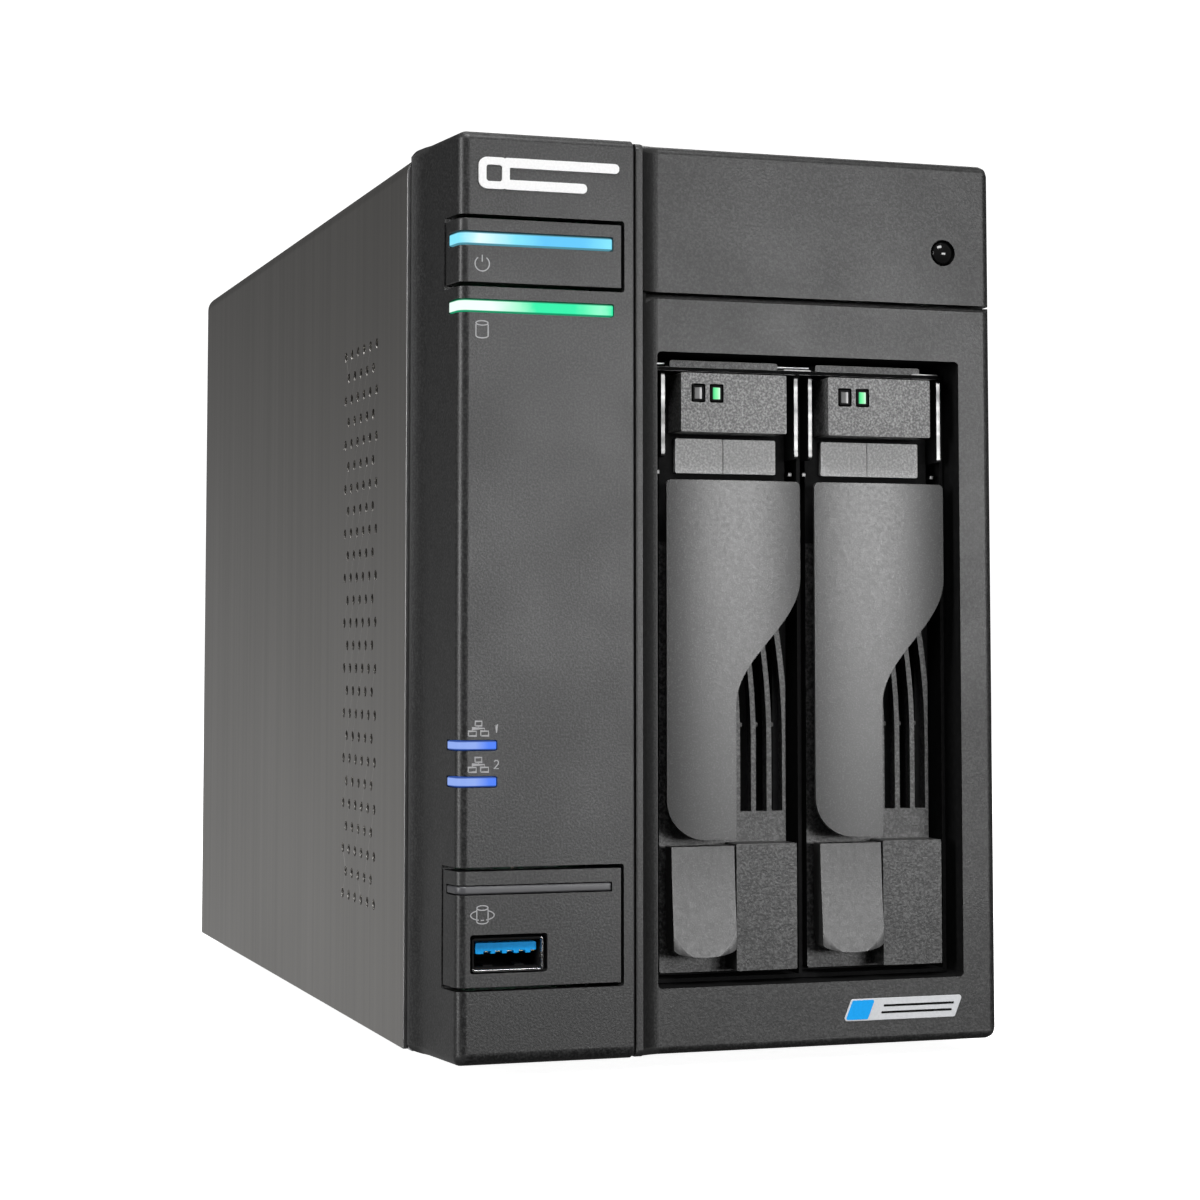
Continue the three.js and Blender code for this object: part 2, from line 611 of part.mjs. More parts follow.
function buildLeverPin(group, side) {
  const pin = prismX(disc(pivot.y, pivot.z, pivot.pinRadius, 12), -11.2, 11.4);
  addPiece(group, `lever_pin_${side}`, pin, 'zinc_steel');
}

// The release button leans out towards its convex lower end.
function buildReleaseButton(group, side) {
  const { left, right, top, sideEnd, end, back } = release;
  const middle = (left + right) / 2;
  const quarter = (right - left) / 4;
  const endQuarter = end + (sideEnd - end) * 0.25;
  const elevation = prismY([
    [left, top], [left, sideEnd], [middle - quarter, endQuarter], [middle, end],
    [middle + quarter, endQuarter], [right, sideEnd], [right, top],
  ], 0, back);
  const profile = prismX([
    [4.2, top], [3.5, 29], [2.5, end - 1], [6, end - 1], [back, 23], [back, top],
  ], left, right);
  addPiece(group, `release_button_${side}`, elevation.intersect(profile), 'satin_grey');
}

function buildLeds(group, side) {
  for (const [name, x] of Object.entries(leds)) {
    const finish = name === 'activity' ? 'green_light' : 'unlit_light';
    const window = block(x, x + led.width, ledBlock.face, ledBlock.face + 3, led.bottom, led.top);
    addPiece(group, `${name}_led_${side}`, window, finish);
  }
}

function buildDrive(group, side) {
  const z0 = tray.bottom + 1.4;
  const half = drive.width / 2;
  const rear = drive.front + drive.length;
  const body = block(-half, half, drive.front, rear, z0, z0 + drive.height);
  const boardRecess = block(-half - 1, -half + 1.2, drive.front + 40, rear - 12, z0 + 8, z0 + 92);
  addPiece(group, `hard_drive_${side}`, body.subtract(boardRecess), 'cast_aluminium');
}

function buildTray(side, centreX) {
  const group = new THREE.Group();
  group.position.x = centreX;
  front.add(group);
  const steps = [
    buildTrayFrame, buildTrayFront, buildHingeCover, buildLever, buildLeverPin,
    buildReleaseButton, buildLeds, buildDrive,
  ];
  steps.forEach((step) => step(group, side));
}

// ---- Electronics -------------------------------------------------------------------------
const cpu = { y0: -14, y1: 24, z0: 66, z1: 104, height: 1.2 };
const dimm = { y0: -30, y1: 38, z0: 118, z1: 122, x: -26.2 };
const coil = { ys: [-62, -50, -38], size: 8, z0: 84, height: 6 };
const clockCell = { y: 60, z: 56, radius: 10, height: 3.4 };
const resetSwitch = { height: 8.9, y0: 99.5, y1: 103.6, z0: 139.5, z1: 144.5 };

function buildMotherboard() {
  const { left, right, bottom, top } = board;
  const plate = block(left, right, board.front, board.rear, bottom, top);
  const chip = block(left - cpu.height, left + 0.5, cpu.y0, cpu.y1, cpu.z0, cpu.z1);
  const socket = block(dimm.x - 1.6, left + 0.5, dimm.y0, dimm.y1, dimm.z0, dimm.z1);
  const cellDisc = disc(clockCell.y, clockCell.z, clockCell.radius, 16);
  const cell = prismX(cellDisc, left - clockCell.height, left + 0.5);
  const coils = coil.ys.map((y) => {
    return block(left - coil.height, left + 0.5, y, y + coil.size, coil.z0, coil.z0 + coil.size);
  });
  const { height, y0, y1, z0, z1 } = resetSwitch;
  const button = block(left - height, left + 0.5, y0, y1, z0, z1);
  addPiece(model, 'motherboard', join([plate, chip, socket, cell, ...coils, button]), 'circuit_board');
}

function buildHeatsink() {
  const base = board.left - cpu.height;
  const fins = 9;
  const y0 = cpu.y0 - 6;
  const y1 = cpu.y1 + 6;
  const finWidth = 1.6;
  const pitch = (y1 - y0 - finWidth) / (fins - 1);
  const plate = block(base - 2.4, base, y0, y1, cpu.z0 - 6, cpu.z1 + 6);
  const blades = Array.from({ length: fins }, (_, i) => {
    const y = y0 + pitch * i;
    return block(base - 13, base - 2, y, y + finWidth, cpu.z0 - 6, cpu.z1 + 6);
  });
  addPiece(model, 'heatsink', join([plate, ...blades]), 'cast_aluminium');
}

function buildMemory() {
  const plate = block(dimm.x, dimm.x + 1, dimm.y0 + 0.5, dimm.y1 - 0.5, dimm.z1, dimm.z1 + 26);
  const chips = [0, 1, 2, 3].map((i) => {
    const y = dimm.y0 + 4 + 16 * i;
    return block(dimm.x - 1, dimm.x + 0.5, y, y + 11, dimm.z1 + 6, dimm.z1 + 20);
  });
  addPiece(model, 'memory_module', join([plate, ...chips]), 'circuit_board');
}

// ---- Rear panel and its connectors -------------------------------------------------------
const portFace = panel.rearY + sheet + 0.3;
const ports = {
  rear_lan_port_1: { depth: 13.5, z0: 96, z1: 112.2 },
  rear_lan_port_2: { depth: 13.5, z0: 116, z1: 132.2 },
  rear_usb_ports: { depth: 15.6, z0: 74, z1: 88.6 },
  hdmi_port: { depth: 6.6, z0: 52, z1: 67.2 },
  dc_inlet: { depth: 11, z0: 30, z1: 42 },
};
const pinhole = { x: -26.5, z: 142, radius: 1.1 };

function portBody({ depth, z0, z1 }, length) {
  return block(board.left - depth, board.left, portFace - length, portFace, z0, z1);
}

function buildLanPorts() {
  for (const name of ['rear_lan_port_1', 'rear_lan_port_2']) {
    const { z0, z1 } = ports[name];
    const socket = block(board.left - 11, board.left - 2.6, portFace - 12, portFace + 1, z0 + 2.2, z1 - 2.2);
    addPiece(model, name, portBody(ports[name], 20).subtract(socket), 'zinc_steel');
  }
}

function buildRearUsb() {
  const { z0, z1 } = ports.rear_usb_ports;
  const slots = [board.left - 14.9, board.left - 7].map((x) => {
    const slot = block(x, x + 5.6, portFace - 11, portFace + 1, z0 + 0.9, z1 - 0.9);
    return slot.subtract(block(x + 1, x + 2.9, portFace - 12, portFace - 1, z0 + 1.8, z1 - 1.8));
  });
  addPiece(model, 'rear_usb_ports', cut(portBody(ports.rear_usb_ports, 17), slots), 'zinc_steel');
}

function buildHdmi() {
  const { z0, z1 } = ports.hdmi_port;
  const x = board.left - 5.7;
  const slot = block(x, x + 4.6, portFace - 8, portFace + 1, z0 + 0.7, z1 - 0.7);
  const tongue = block(x + 2, x + 3, portFace - 9, portFace - 1, z0 + 2, z1 - 2);
  const solid = portBody(ports.hdmi_port, 11).subtract(slot.subtract(tongue));
  addPiece(model, 'hdmi_port', solid, 'zinc_steel');
}

function buildDcInlet() {
  const { depth, z0, z1 } = ports.dc_inlet;
  const x = board.left - depth / 2;
  const z = (z0 + z1) / 2;
  const socket = prismY(disc(x, z, 3.3, 20), portFace - 9, portFace + 1);
  const pin = prismY(disc(x, z, 1, 10), portFace - 10, portFace - 1);
  const solid = portBody(ports.dc_inlet, 13).subtract(socket.subtract(pin));
  addPiece(model, 'dc_inlet', solid, 'black_plastic');
}

function buildResetButton() {
  const plunger = prismY(disc(pinhole.x, pinhole.z, 1.5, 12), 104.4, 109.8);
  addPiece(model, 'reset_button', plunger, 'black_plastic');
}

// Arc-shaped air slots of the fan guard, in rings of four.
function guardSlots() {
  const slots = [];
  const steps = 6;
  for (const radius of [7.5, 13.5, 19.5, 25.5, 31]) {
    for (let quarter = 0; quarter < 4; quarter += 1) {
      const margin = 1.6 / radius;
      const start = quarter * Math.PI / 2 + margin;
      const sweep = Math.PI / 2 - 2 * margin;
      const arc = (r) => Array.from({ length: steps + 1 }, (_, i) => {
        const angle = start + sweep * i / steps;
        return [fan.x + r * Math.cos(angle), fan.z + r * Math.sin(angle)];
      });
      const corners = [...arc(radius + 2), ...arc(radius - 2).reverse()];
      slots.push(prismY(corners, panel.rearY - 1, panel.rearY + sheet + 1));
    }
  }
  return slots;
}

function buildRearPanel() {
  const y0 = panel.rearY;
  const y1 = y0 + sheet;
  const plate = casePlate(y0, y1);
  const cutouts = Object.values(ports).map(({ depth, z0, z1 }) => {
    return block(board.left - depth - 0.3, board.left + 0.3, y0 - 1, y1 + 1, z0 - 0.3, z1 + 0.3);
  });
  const screwHoles = [-screwX, screwX].map((x) => {
    return prismY(disc(x, screwZ, screwRadius + 0.4, 10), y0 - 1, y1 + 1);
  });
  const resetHole = prismY(disc(pinhole.x, pinhole.z, pinhole.radius, 10), y0 - 1, y1 + 1);
  const tools = [...cutouts, ...screwHoles, resetHole, ...guardSlots()];
  addPiece(model, 'rear_panel', cut(plate, tools), 'zinc_steel');
}

// ---- Fan ---------------------------------------------------------------------------------
const fanBack = panel.rearY;
const fanFront = fanBack - fan.depth;
const motorSeat = 3;

function buildFanFrame() {
  const half = fan.size / 2;
  const square = rectangle(fan.x - half, fan.x + half, fan.z - half, fan.z + half, 3);
  const body = prismY(square, fanFront, fanBack);
  const duct = prismY(disc(fan.x, fan.z, fan.bore, 32), fanFront - 1, fanBack + 1);
  const seat = prismY(disc(fan.x, fan.z, fan.hub - 1, 20), fanBack - motorSeat, fanBack);
  const struts = [
    block(fan.x - fan.bore - 1, fan.x + fan.bore + 1, fanBack - motorSeat, fanBack, fan.z - 2, fan.z + 2),
    block(fan.x - 2, fan.x + 2, fanBack - motorSeat, fanBack, fan.z - fan.bore - 1, fan.z + fan.bore + 1),
  ];
  const bearing = prismY(disc(fan.x, fan.z, 2, 12), fanBack - motorSeat - 1, fanBack + 1);
  const solid = join([body.subtract(duct), seat, ...struts]).subtract(bearing);
  addPiece(model, 'fan_frame', solid, 'black_plastic');
}

function buildFanRotor() {
  const hubFront = fanFront + 1;
  const hubBack = fanBack - motorSeat - 0.6;
  const bladeCount = 7;
  const pitchAngle = THREE.MathUtils.degToRad(38);
  const hub = prismY(disc(fan.x, fan.z, fan.hub, 24), hubFront, hubBack);
  const shaft = prismY(disc(fan.x, fan.z, 1.6, 12), hubBack - 1, fanBack - 1);
  const blades = Array.from({ length: bladeCount }, (_, i) => {
    const span = fan.tip - fan.hub + 1.5;
    const geometry = new THREE.BoxGeometry(17, 1.4, span).rotateZ(pitchAngle);
    geometry.translate(0, 0, fan.hub - 2 + span / 2);
    geometry.rotateY(2 * Math.PI * i / bladeCount);
    return toSolid(geometry.translate(fan.x, (hubFront + hubBack) / 2, fan.z));
  });
  const tipTrim = prismY(disc(fan.x, fan.z, fan.tip, 32), hubFront - 1, fanBack);
  addPiece(model, 'fan_rotor', join([hub, shaft, ...blades]).intersect(tipTrim), 'black_plastic');
}

// ---- Assembly ----------------------------------------------------------------------------
buildCover();
buildThumbScrews();
buildBasePlate();
buildFeet();
buildFrontPlate();
buildColumnPanel();
buildBayFrame();
buildTopPanel();
buildLens();
buildLights();
buildButtons();
buildFrontUsb();
buildFrontIoBoard();
buildEmblem();
buildBadge();
buildDriveCage();
buildBackplane();
Object.entries(trayCentres).forEach(([side, x]) => buildTray(side, x));
buildMotherboard();
buildHeatsink();
buildMemory();
buildLanPorts();
buildRearUsb();
buildHdmi();
buildDcInlet();
buildResetButton();
buildRearPanel();
buildFanFrame();
buildFanRotor();

export default model;
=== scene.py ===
"""Looks of a two-bay network attached storage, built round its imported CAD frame.

Lengths are in millimetres until a mesh is made. Y grows from front to back.
"""

import math

import bmesh
import bpy
from mathutils import Matrix, Vector


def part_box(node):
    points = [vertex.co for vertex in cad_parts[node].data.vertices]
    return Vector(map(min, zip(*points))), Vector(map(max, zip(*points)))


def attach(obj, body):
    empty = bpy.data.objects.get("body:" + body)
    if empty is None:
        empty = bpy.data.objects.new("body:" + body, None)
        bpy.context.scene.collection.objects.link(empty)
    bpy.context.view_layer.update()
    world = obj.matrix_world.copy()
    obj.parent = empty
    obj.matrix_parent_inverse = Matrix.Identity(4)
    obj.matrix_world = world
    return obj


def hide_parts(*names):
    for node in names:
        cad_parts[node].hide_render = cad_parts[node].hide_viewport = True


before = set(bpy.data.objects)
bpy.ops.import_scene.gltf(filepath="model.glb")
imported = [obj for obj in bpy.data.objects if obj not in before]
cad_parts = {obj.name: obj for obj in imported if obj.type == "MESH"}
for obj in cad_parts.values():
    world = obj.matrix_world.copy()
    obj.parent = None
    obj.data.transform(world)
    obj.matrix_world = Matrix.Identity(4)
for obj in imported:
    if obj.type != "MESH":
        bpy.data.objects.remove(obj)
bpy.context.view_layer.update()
MM = 0.001


def box_mm(node):
    low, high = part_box(node)
    return low / MM, high / MM


def centre_mm(node):
    low, high = box_mm(node)
    return (low + high) / 2


FACE = box_mm("column_panel")[0].y
SIDES = ("left", "right")


# ---- Outlines -----------------------------------------------------------------------------
def rounded(corners, steps=6):
    """Turns corners (a, b, radius) into points, with an arc at each corner that has a radius."""
    points = []
    for i, (a, b, radius) in enumerate(corners):
        here = Vector((a, b))
        if radius <= 0:
            points.append(here)
            continue
        before = (Vector(corners[i - 1][:2]) - here).normalized()
        after = (Vector(corners[(i + 1) % len(corners)][:2]) - here).normalized()
        half = before.angle(after) / 2
        centre = here + (before + after).normalized() * (radius / math.sin(half))
        start = here + before * (radius / math.tan(half)) - centre
        end = here + after * (radius / math.tan(half)) - centre
        turn = math.atan2(start.x * end.y - start.y * end.x, start.dot(end))
        for k in range(steps + 1):
            points.append(centre + Matrix.Rotation(turn * k / steps, 2) @ start)
    return points


def rectangle(a0, a1, b0, b1, radius=0.0, steps=6):
    return rounded([(a0, b0, radius), (a1, b0, radius), (a1, b1, radius), (a0, b1, radius)], steps)


def circle(a, b, radius, sides=24):
    turns = [2 * math.pi * i / sides for i in range(sides)]
    return [Vector((a + radius * math.cos(t), b + radius * math.sin(t))) for t in turns]


def bezier(p0, p1, p2, p3, steps):
    points = []
    for k in range(steps + 1):
        t = k / steps
        u = 1 - t
        a = u**3 * p0[0] + 3 * u * u * t * p1[0] + 3 * u * t * t * p2[0] + t**3 * p3[0]
        b = u**3 * p0[1] + 3 * u * u * t * p1[1] + 3 * u * t * t * p2[1] + t**3 * p3[1]
        points.append((a, b, 0))
    return points


# ---- Solids -------------------------------------------------------------------------------
PLACES = {
    "X": lambda a, b, c: (c, a, b),
    "Y": lambda a, b, c: (a, c, b),
    "Z": lambda a, b, c: (a, b, c),
}


def new_object(name, bm):
    bmesh.ops.remove_doubles(bm, verts=bm.verts, dist=1e-4 * MM)
    bmesh.ops.recalc_face_normals(bm, faces=bm.faces)
    mesh = bpy.data.meshes.new(name)
    bm.to_mesh(mesh)
    bm.free()
    obj = bpy.data.objects.new(name, mesh)
    bpy.context.scene.collection.objects.link(obj)
    return obj


def add_prism(bm, points, axis, low, high):
    place = PLACES[axis]
    rings = []
    for c in (low, high):
        rings.append([bm.verts.new(Vector(place(p[0], p[1], c)) * MM) for p in points])
    for ring in rings:
        bm.faces.new(ring)
    for i in range(len(points)):
        j = (i + 1) % len(points)
        bm.faces.new((rings[0][i], rings[0][j], rings[1][j], rings[1][i]))


def prism(name, points, axis, low, high):
    """An outline in the two other axes, carried along one axis."""
    bm = bmesh.new()
    add_prism(bm, points, axis, low, high)
    return new_object(name, bm)


def prisms(name, outlines, axis, low, high):
    """Several outlines that don't meet, carried along one axis as one object."""
    bm = bmesh.new()
    for points in outlines:
        add_prism(bm, points, axis, low, high)
    return new_object(name, bm)


def block(name, x0, x1, y0, y1, z0, z1):
    return prism(name, rectangle(x0, x1, z0, z1), "Y", y0, y1)


def lathe(name, profile, centre, axis="Y", segments=32):
    """Turns a profile of (radius, height) points round an axis; it starts and ends at radius 0."""
    bm = bmesh.new()
    place = PLACES[axis]
    rings = []
    for radius, height in profile:
        if radius <= 0:
            rings.append([bm.verts.new(Vector(place(0, 0, height)) * MM)])
            continue
        ring = [place(p.x, p.y, height) for p in circle(0, 0, radius, segments)]
        rings.append([bm.verts.new(Vector(v) * MM) for v in ring])
    for lower, upper in zip(rings, rings[1:]):
        for i in range(segments):
            j = (i + 1) % segments
            corners = [
                lower[i % len(lower)], lower[j % len(lower)], upper[j % len(upper)],
                upper[i % len(upper)],
            ]
            unique = list(dict.fromkeys(corners))
            if len(unique) > 2:
                bm.faces.new(unique)
    bmesh.ops.translate(bm, verts=bm.verts, vec=Vector(centre) * MM)
    return new_object(name, bm)


def apply_modifiers(obj):
    bpy.context.view_layer.update()
    made = bpy.data.meshes.new_from_object(obj.evaluated_get(bpy.context.evaluated_depsgraph_get()))
    obj.modifiers.clear()
    obj.data = made


def combine(obj, tools, operation):
    for tool in tools:
        modifier = obj.modifiers.new("combine", "BOOLEAN")
        modifier.operation = operation
        modifier.solver = "EXACT"
        modifier.object = tool
        apply_modifiers(obj)
        bpy.data.objects.remove(tool)
    return obj


def cut(obj, *tools):
    return combine(obj, tools, "DIFFERENCE")


def common(obj, *tools):
    return combine(obj, tools, "INTERSECT")


def fuse(obj, *tools):
    return combine(obj, tools, "UNION")


def soften(obj, width, segments=2, angle=34):
    """Rounds every edge that is sharper than an angle by a small width."""
    modifier = obj.modifiers.new("soften", "BEVEL")
    modifier.width = width * MM
    modifier.segments = segments
    modifier.limit_method = "ANGLE"
    modifier.angle_limit = math.radians(angle)
    modifier.miter_outer = "MITER_ARC"
    modifier.use_clamp_overlap = True
    apply_modifiers(obj)
    return obj


def round_edges(obj, radius_at, segments=6):
    """Rounds each edge by the radius that radius_at(middle, direction) gives, in millimetres."""
    bm = bmesh.new()
    bm.from_mesh(obj.data)
    layer = bm.edges.layers.float.new("bevel_weight_edge")
    largest = 0
    radii = {}
    for edge in bm.edges:
        a, b = (v.co / MM for v in edge.verts)
        radii[edge] = radius_at((a + b) / 2, (b - a).normalized())
        largest = max(largest, radii[edge])
    for edge, radius in radii.items():
        edge[layer] = radius / largest
    bm.to_mesh(obj.data)
    bm.free()
    modifier = obj.modifiers.new("round", "BEVEL")
    modifier.width = largest * MM
    modifier.segments = segments
    modifier.limit_method = "WEIGHT"
    modifier.use_clamp_overlap = False
    apply_modifiers(obj)
    return obj


def mark_edges(mesh, narrow=0.3):
    """Stores 1 on the narrow faces of rounded edges and 0 elsewhere, for the finishes with paler edges:
    wear, and on satin plastic also a painted rim highlight.
    """
    attribute = mesh.attributes.new("edge", "FLOAT", "FACE")
    places = [vertex.co for vertex in mesh.vertices]
    for face, stored in zip(mesh.polygons, attribute.data):
        half_round = sum((places[a] - places[b]).length for a, b in face.edge_keys) / 2
        stored.value = 1.0 if face.area < narrow * MM * half_round else 0.0


def smooth_shading(obj, angle):
    """Shades rounded edges smoothly while the flats beside them stay flat."""
    obj.data.shade_smooth()
    obj.data.set_sharp_from_angle(angle=math.radians(angle))
    modifier = obj.modifiers.new("normals", "WEIGHTED_NORMAL")
    modifier.mode = "FACE_AREA"
    modifier.weight = 80
    modifier.keep_sharp = True
    apply_modifiers(obj)


def finish_piece(obj, body, finishes, replaces=(), slot=None, smooth=40):
    """Gives a piece its materials (names from MATERIALS, or one material), shading and body."""
    smooth_shading(obj, smooth)
    mark_edges(obj.data)
    obj.data.materials.clear()
    for finish in finishes if isinstance(finishes, list) else [finishes]:
        obj.data.materials.append(MATERIALS[finish] if isinstance(finish, str) else finish)
    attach(obj, body)
    if replaces:
        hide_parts(*replaces)
    return obj


def dress(node, material, width=0.2, segments=2):
    """Keeps a CAD node's shape, and gives it softened edges and a material."""
    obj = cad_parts[node]
    weld = obj.modifiers.new("weld", "WELD")
    weld.merge_threshold = 1e-3 * MM
    bevel = obj.modifiers.new("soften", "BEVEL")
    bevel.width = width * MM
    bevel.segments = segments
    bevel.limit_method = "ANGLE"
    bevel.angle_limit = math.radians(40)
    obj.data.materials.clear()
    obj.data.materials.append(material)


# ---- Materials ----------------------------------------------------------------------------
def grey(value):
    return (value, value, value)


def tinted(colour, scale, lift=0):
    """A lighter or darker version of a colour."""
    return tuple(min(1, scale * c + lift) for c in colour)


class Shader:
    """A material's node tree, with short ways to add the few nodes that every finish uses."""

    def __init__(self, name):
        self.material = bpy.data.materials.new(name)
        self.material.use_nodes = True
        self.nodes = self.material.node_tree.nodes
        self.links = self.material.node_tree.links
        self.surface = self.nodes["Principled BSDF"]
        self.coordinates = self.nodes.new("ShaderNodeTexCoord").outputs["Object"]

    def set(self, **values):
        for key, value in values.items():
            self.surface.inputs[key.replace("_", " ")].default_value = value
        return self

    def stretched(self, x, y, z):
        mapping = self.nodes.new("ShaderNodeMapping")
        mapping.inputs["Scale"].default_value = (x, y, z)
        self.links.new(self.coordinates, mapping.inputs["Vector"])
        return mapping.outputs["Vector"]

    def noise(self, scale, detail=2.0, roughness=0.5, vector=None):
        node = self.nodes.new("ShaderNodeTexNoise")
        node.inputs["Scale"].default_value = scale
        node.inputs["Detail"].default_value = detail
        node.inputs["Roughness"].default_value = roughness
        self.links.new(vector or self.coordinates, node.inputs["Vector"])
        return node.outputs["Fac"]

    def spots(self, scale):
        node = self.nodes.new("ShaderNodeTexVoronoi")
        node.inputs["Scale"].default_value = scale
        self.links.new(self.coordinates, node.inputs["Vector"])
        return node.outputs["Distance"]

    def between(self, factor, low, high, start=0.0, end=1.0):
        """Maps a factor from start..end to low..high."""
        node = self.nodes.new("ShaderNodeMapRange")
        node.inputs["From Min"].default_value = start
        node.inputs["From Max"].default_value = end
        node.inputs["To Min"].default_value = low
        node.inputs["To Max"].default_value = high
        self.links.new(factor, node.inputs["Value"])
        return node.outputs["Result"]

    def ramp(self, factor, stops):
        node = self.nodes.new("ShaderNodeValToRGB")
        elements = node.color_ramp.elements
        while len(elements) < len(stops):
            elements.new(0.5)
        for element, (position, colour) in zip(elements, stops):
            element.position = position
            element.color = (*colour, 1)
        self.links.new(factor, node.inputs["Fac"])
        return node.outputs["Color"]

    def mix(self, factor, first, second):
        node = self.nodes.new("ShaderNodeMix")
        node.data_type = "RGBA"
        self.links.new(factor, node.inputs["Factor"])
        for socket, value in ((node.inputs["A"], first), (node.inputs["B"], second)):
            if isinstance(value, tuple):
                socket.default_value = (*value, 1)
            else:
                self.links.new(value, socket)
        return node.outputs["Result"]

    def tilted(self):
        """1 on faces that look up or down and 0 on upright ones."""
        geometry = self.nodes.new("ShaderNodeNewGeometry")
        split = self.nodes.new("ShaderNodeSeparateXYZ")
        self.links.new(geometry.outputs["Normal"], split.inputs["Vector"])
        size = self.nodes.new("ShaderNodeMath")
        size.operation = "ABSOLUTE"
        self.links.new(split.outputs["Z"], size.inputs[0])
        return self.between(size.outputs["Value"], 0, 1, 0.15, 0.5)

    def edges(self):
        """1 on the rounded edges that mark_edges found."""
        node = self.nodes.new("ShaderNodeAttribute")
        node.attribute_name = "edge"
        return node.outputs["Fac"]

    def bump(self, height, distance, strength=1.0):
        node = self.nodes.new("ShaderNodeBump")
        node.inputs["Distance"].default_value = distance * MM
        node.inputs["Strength"].default_value = strength
        self.links.new(height, node.inputs["Height"])
        return node.outputs["Normal"]

    def drive(self, **sockets):
        for key, output in sockets.items():
            self.links.new(output, self.surface.inputs[key.replace("_", " ")])
        return self.material


def moulded(name, dark, light, rough=(0.38, 0.44), grain=2600, depth=0.05, sparkle=0.03):
    """Moulded plastic with a fine spark-eroded grain, slight shade drift and paler edges."""
    shader = Shader(name)
    shader.set(Specular_IOR_Level=0.5)
    drift = shader.noise(14, 3)
    speck = shader.noise(grain, 2, 0.6)
    base = shader.mix(shader.between(drift, 0.1, 0.9, 0.3, 0.7), dark, light)
    peaks = tinted(light, 1, sparkle)
    speckled = shader.mix(shader.between(speck, 0, 1, 0.42, 0.70), base, peaks)
    rubbed = tinted(light, 1.3, 0.03)
    paler_edges = shader.mix(shader.between(shader.edges(), 0, 0.5), speckled, rubbed)
    normal = shader.bump(speck, depth, 0.6)
    roughness = shader.between(shader.noise(60, 4), *rough, 0.3, 0.7)
    return shader.drive(Base_Color=paler_edges, Roughness=roughness, Normal=normal)


def satin(name, dark, light, rough=(0.37, 0.43), gloss=0.55):
    """Smooth satin plastic with faint moulding flow, fine scuffs, and paler rounded edges that are partly
    wear and partly a painted rim highlight.
    """
    shader = Shader(name)
    shader.set(Specular_IOR_Level=gloss)
    flow = shader.noise(18, 3, 0.5, shader.stretched(1.5, 1, 0.5))
    speck = shader.noise(3600, 2)
    base = shader.mix(shader.between(flow, 0, 1, 0.35, 0.65), dark, light)
    base = shader.mix(shader.between(speck, 0, 0.8, 0.5, 0.8), base, tinted(light, 1, 0.05))
    # Paler rounded edges: partly wear, partly a painted rim highlight.
    paler_edges = shader.mix(shader.between(shader.edges(), 0, 0.5), base, tinted(light, 1.4, 0.05))
    normal = shader.bump(speck, 0.016, 0.5)
    scuff = shader.between(shader.noise(1400, 3, 0.6), *rough, 0.35, 0.65)
    return shader.drive(Base_Color=paler_edges, Roughness=scuff, Normal=normal)


def shadowed(name):
    """Painted shade: a dull near-black put on surfaces deep inside the case, whatever they are made of, so
    they read as shadow; also the black of the indicator frames.
    """
    shader = Shader(name)
    shader.set(Specular_IOR_Level=0.12)
    dust = shader.noise(900, 4, 0.6)
    base = shader.mix(
        shader.between(dust, 0, 1, 0.45, 0.8), (0.0035, 0.0035, 0.0037), (0.009, 0.009, 0.0092),
    )
    return shader.drive(
        Base_Color=base, Roughness=shader.between(dust, 0.7, 0.85), Normal=shader.bump(dust, 0.03, 0.5),
    )


def brushed(name, dark, light):
    """Coated sheet metal brushed across the bend, so the lines run up the sides and over the top."""
    shader = Shader(name)
    shader.set(Metallic=0.95, Anisotropic=0.7)
    tangent = shader.nodes.new("ShaderNodeTangent")
    tangent.direction_type = "RADIAL"
    tangent.axis = "Y"
    fine = shader.noise(1, 3, 0.65, shader.stretched(9, 4200, 9))
    coarse = shader.noise(1, 2, 0.5, shader.stretched(5, 420, 5))
    cloud = shader.noise(9, 3)
    base = shader.mix(shader.between(fine, 0, 1, 0.25, 0.75), dark, light)
    base = shader.mix(shader.between(coarse, 0, 0.5, 0.3, 0.7), base, tinted(light, 1.2))
    paler_edges = shader.mix(shader.between(shader.edges(), 0, 0.8), base, (0.72, 0.70, 0.67))
    roughness = shader.mix(shader.between(cloud, 0, 0.5, 0.3, 0.7), grey(0.36), grey(0.46))
    normal = shader.bump(fine, 0.006, 0.7)
    return shader.drive(
        Base_Color=paler_edges, Roughness=roughness, Normal=normal, Tangent=tangent.outputs["Tangent"],
    )


def plated(name, dark=(0.46, 0.47, 0.49), light=(0.68, 0.69, 0.71), rough=(0.26, 0.40)):
    """Zinc-plated sheet steel with a faint spangle and rolling lines."""
    shader = Shader(name)
    shader.set(Metallic=1.0)
    spangle = shader.spots(260)
    rolled = shader.noise(1, 2, 0.6, shader.stretched(60, 60, 1600))
    base = shader.mix(shader.between(spangle, 0, 1, 0.1, 0.7), dark, light)
    roughness = shader.between(rolled, *rough, 0.3, 0.7)
    normal = shader.bump(rolled, 0.004, 0.6)
    return shader.drive(Base_Color=base, Roughness=roughness, Normal=normal)


def glossy(name, colour, rough=(0.08, 0.16)):
    """Polished plastic with faint haze."""
    shader = Shader(name)
    haze = shader.noise(160, 4)
    base = shader.mix(shader.between(haze, 0, 0.4, 0.4, 0.7), colour, tinted(colour, 1.6, 0.002))
    normal = shader.bump(shader.noise(90, 2), 0.006, 0.3)
    return shader.drive(Base_Color=base, Roughness=shader.between(haze, *rough, 0.3, 0.7), Normal=normal)


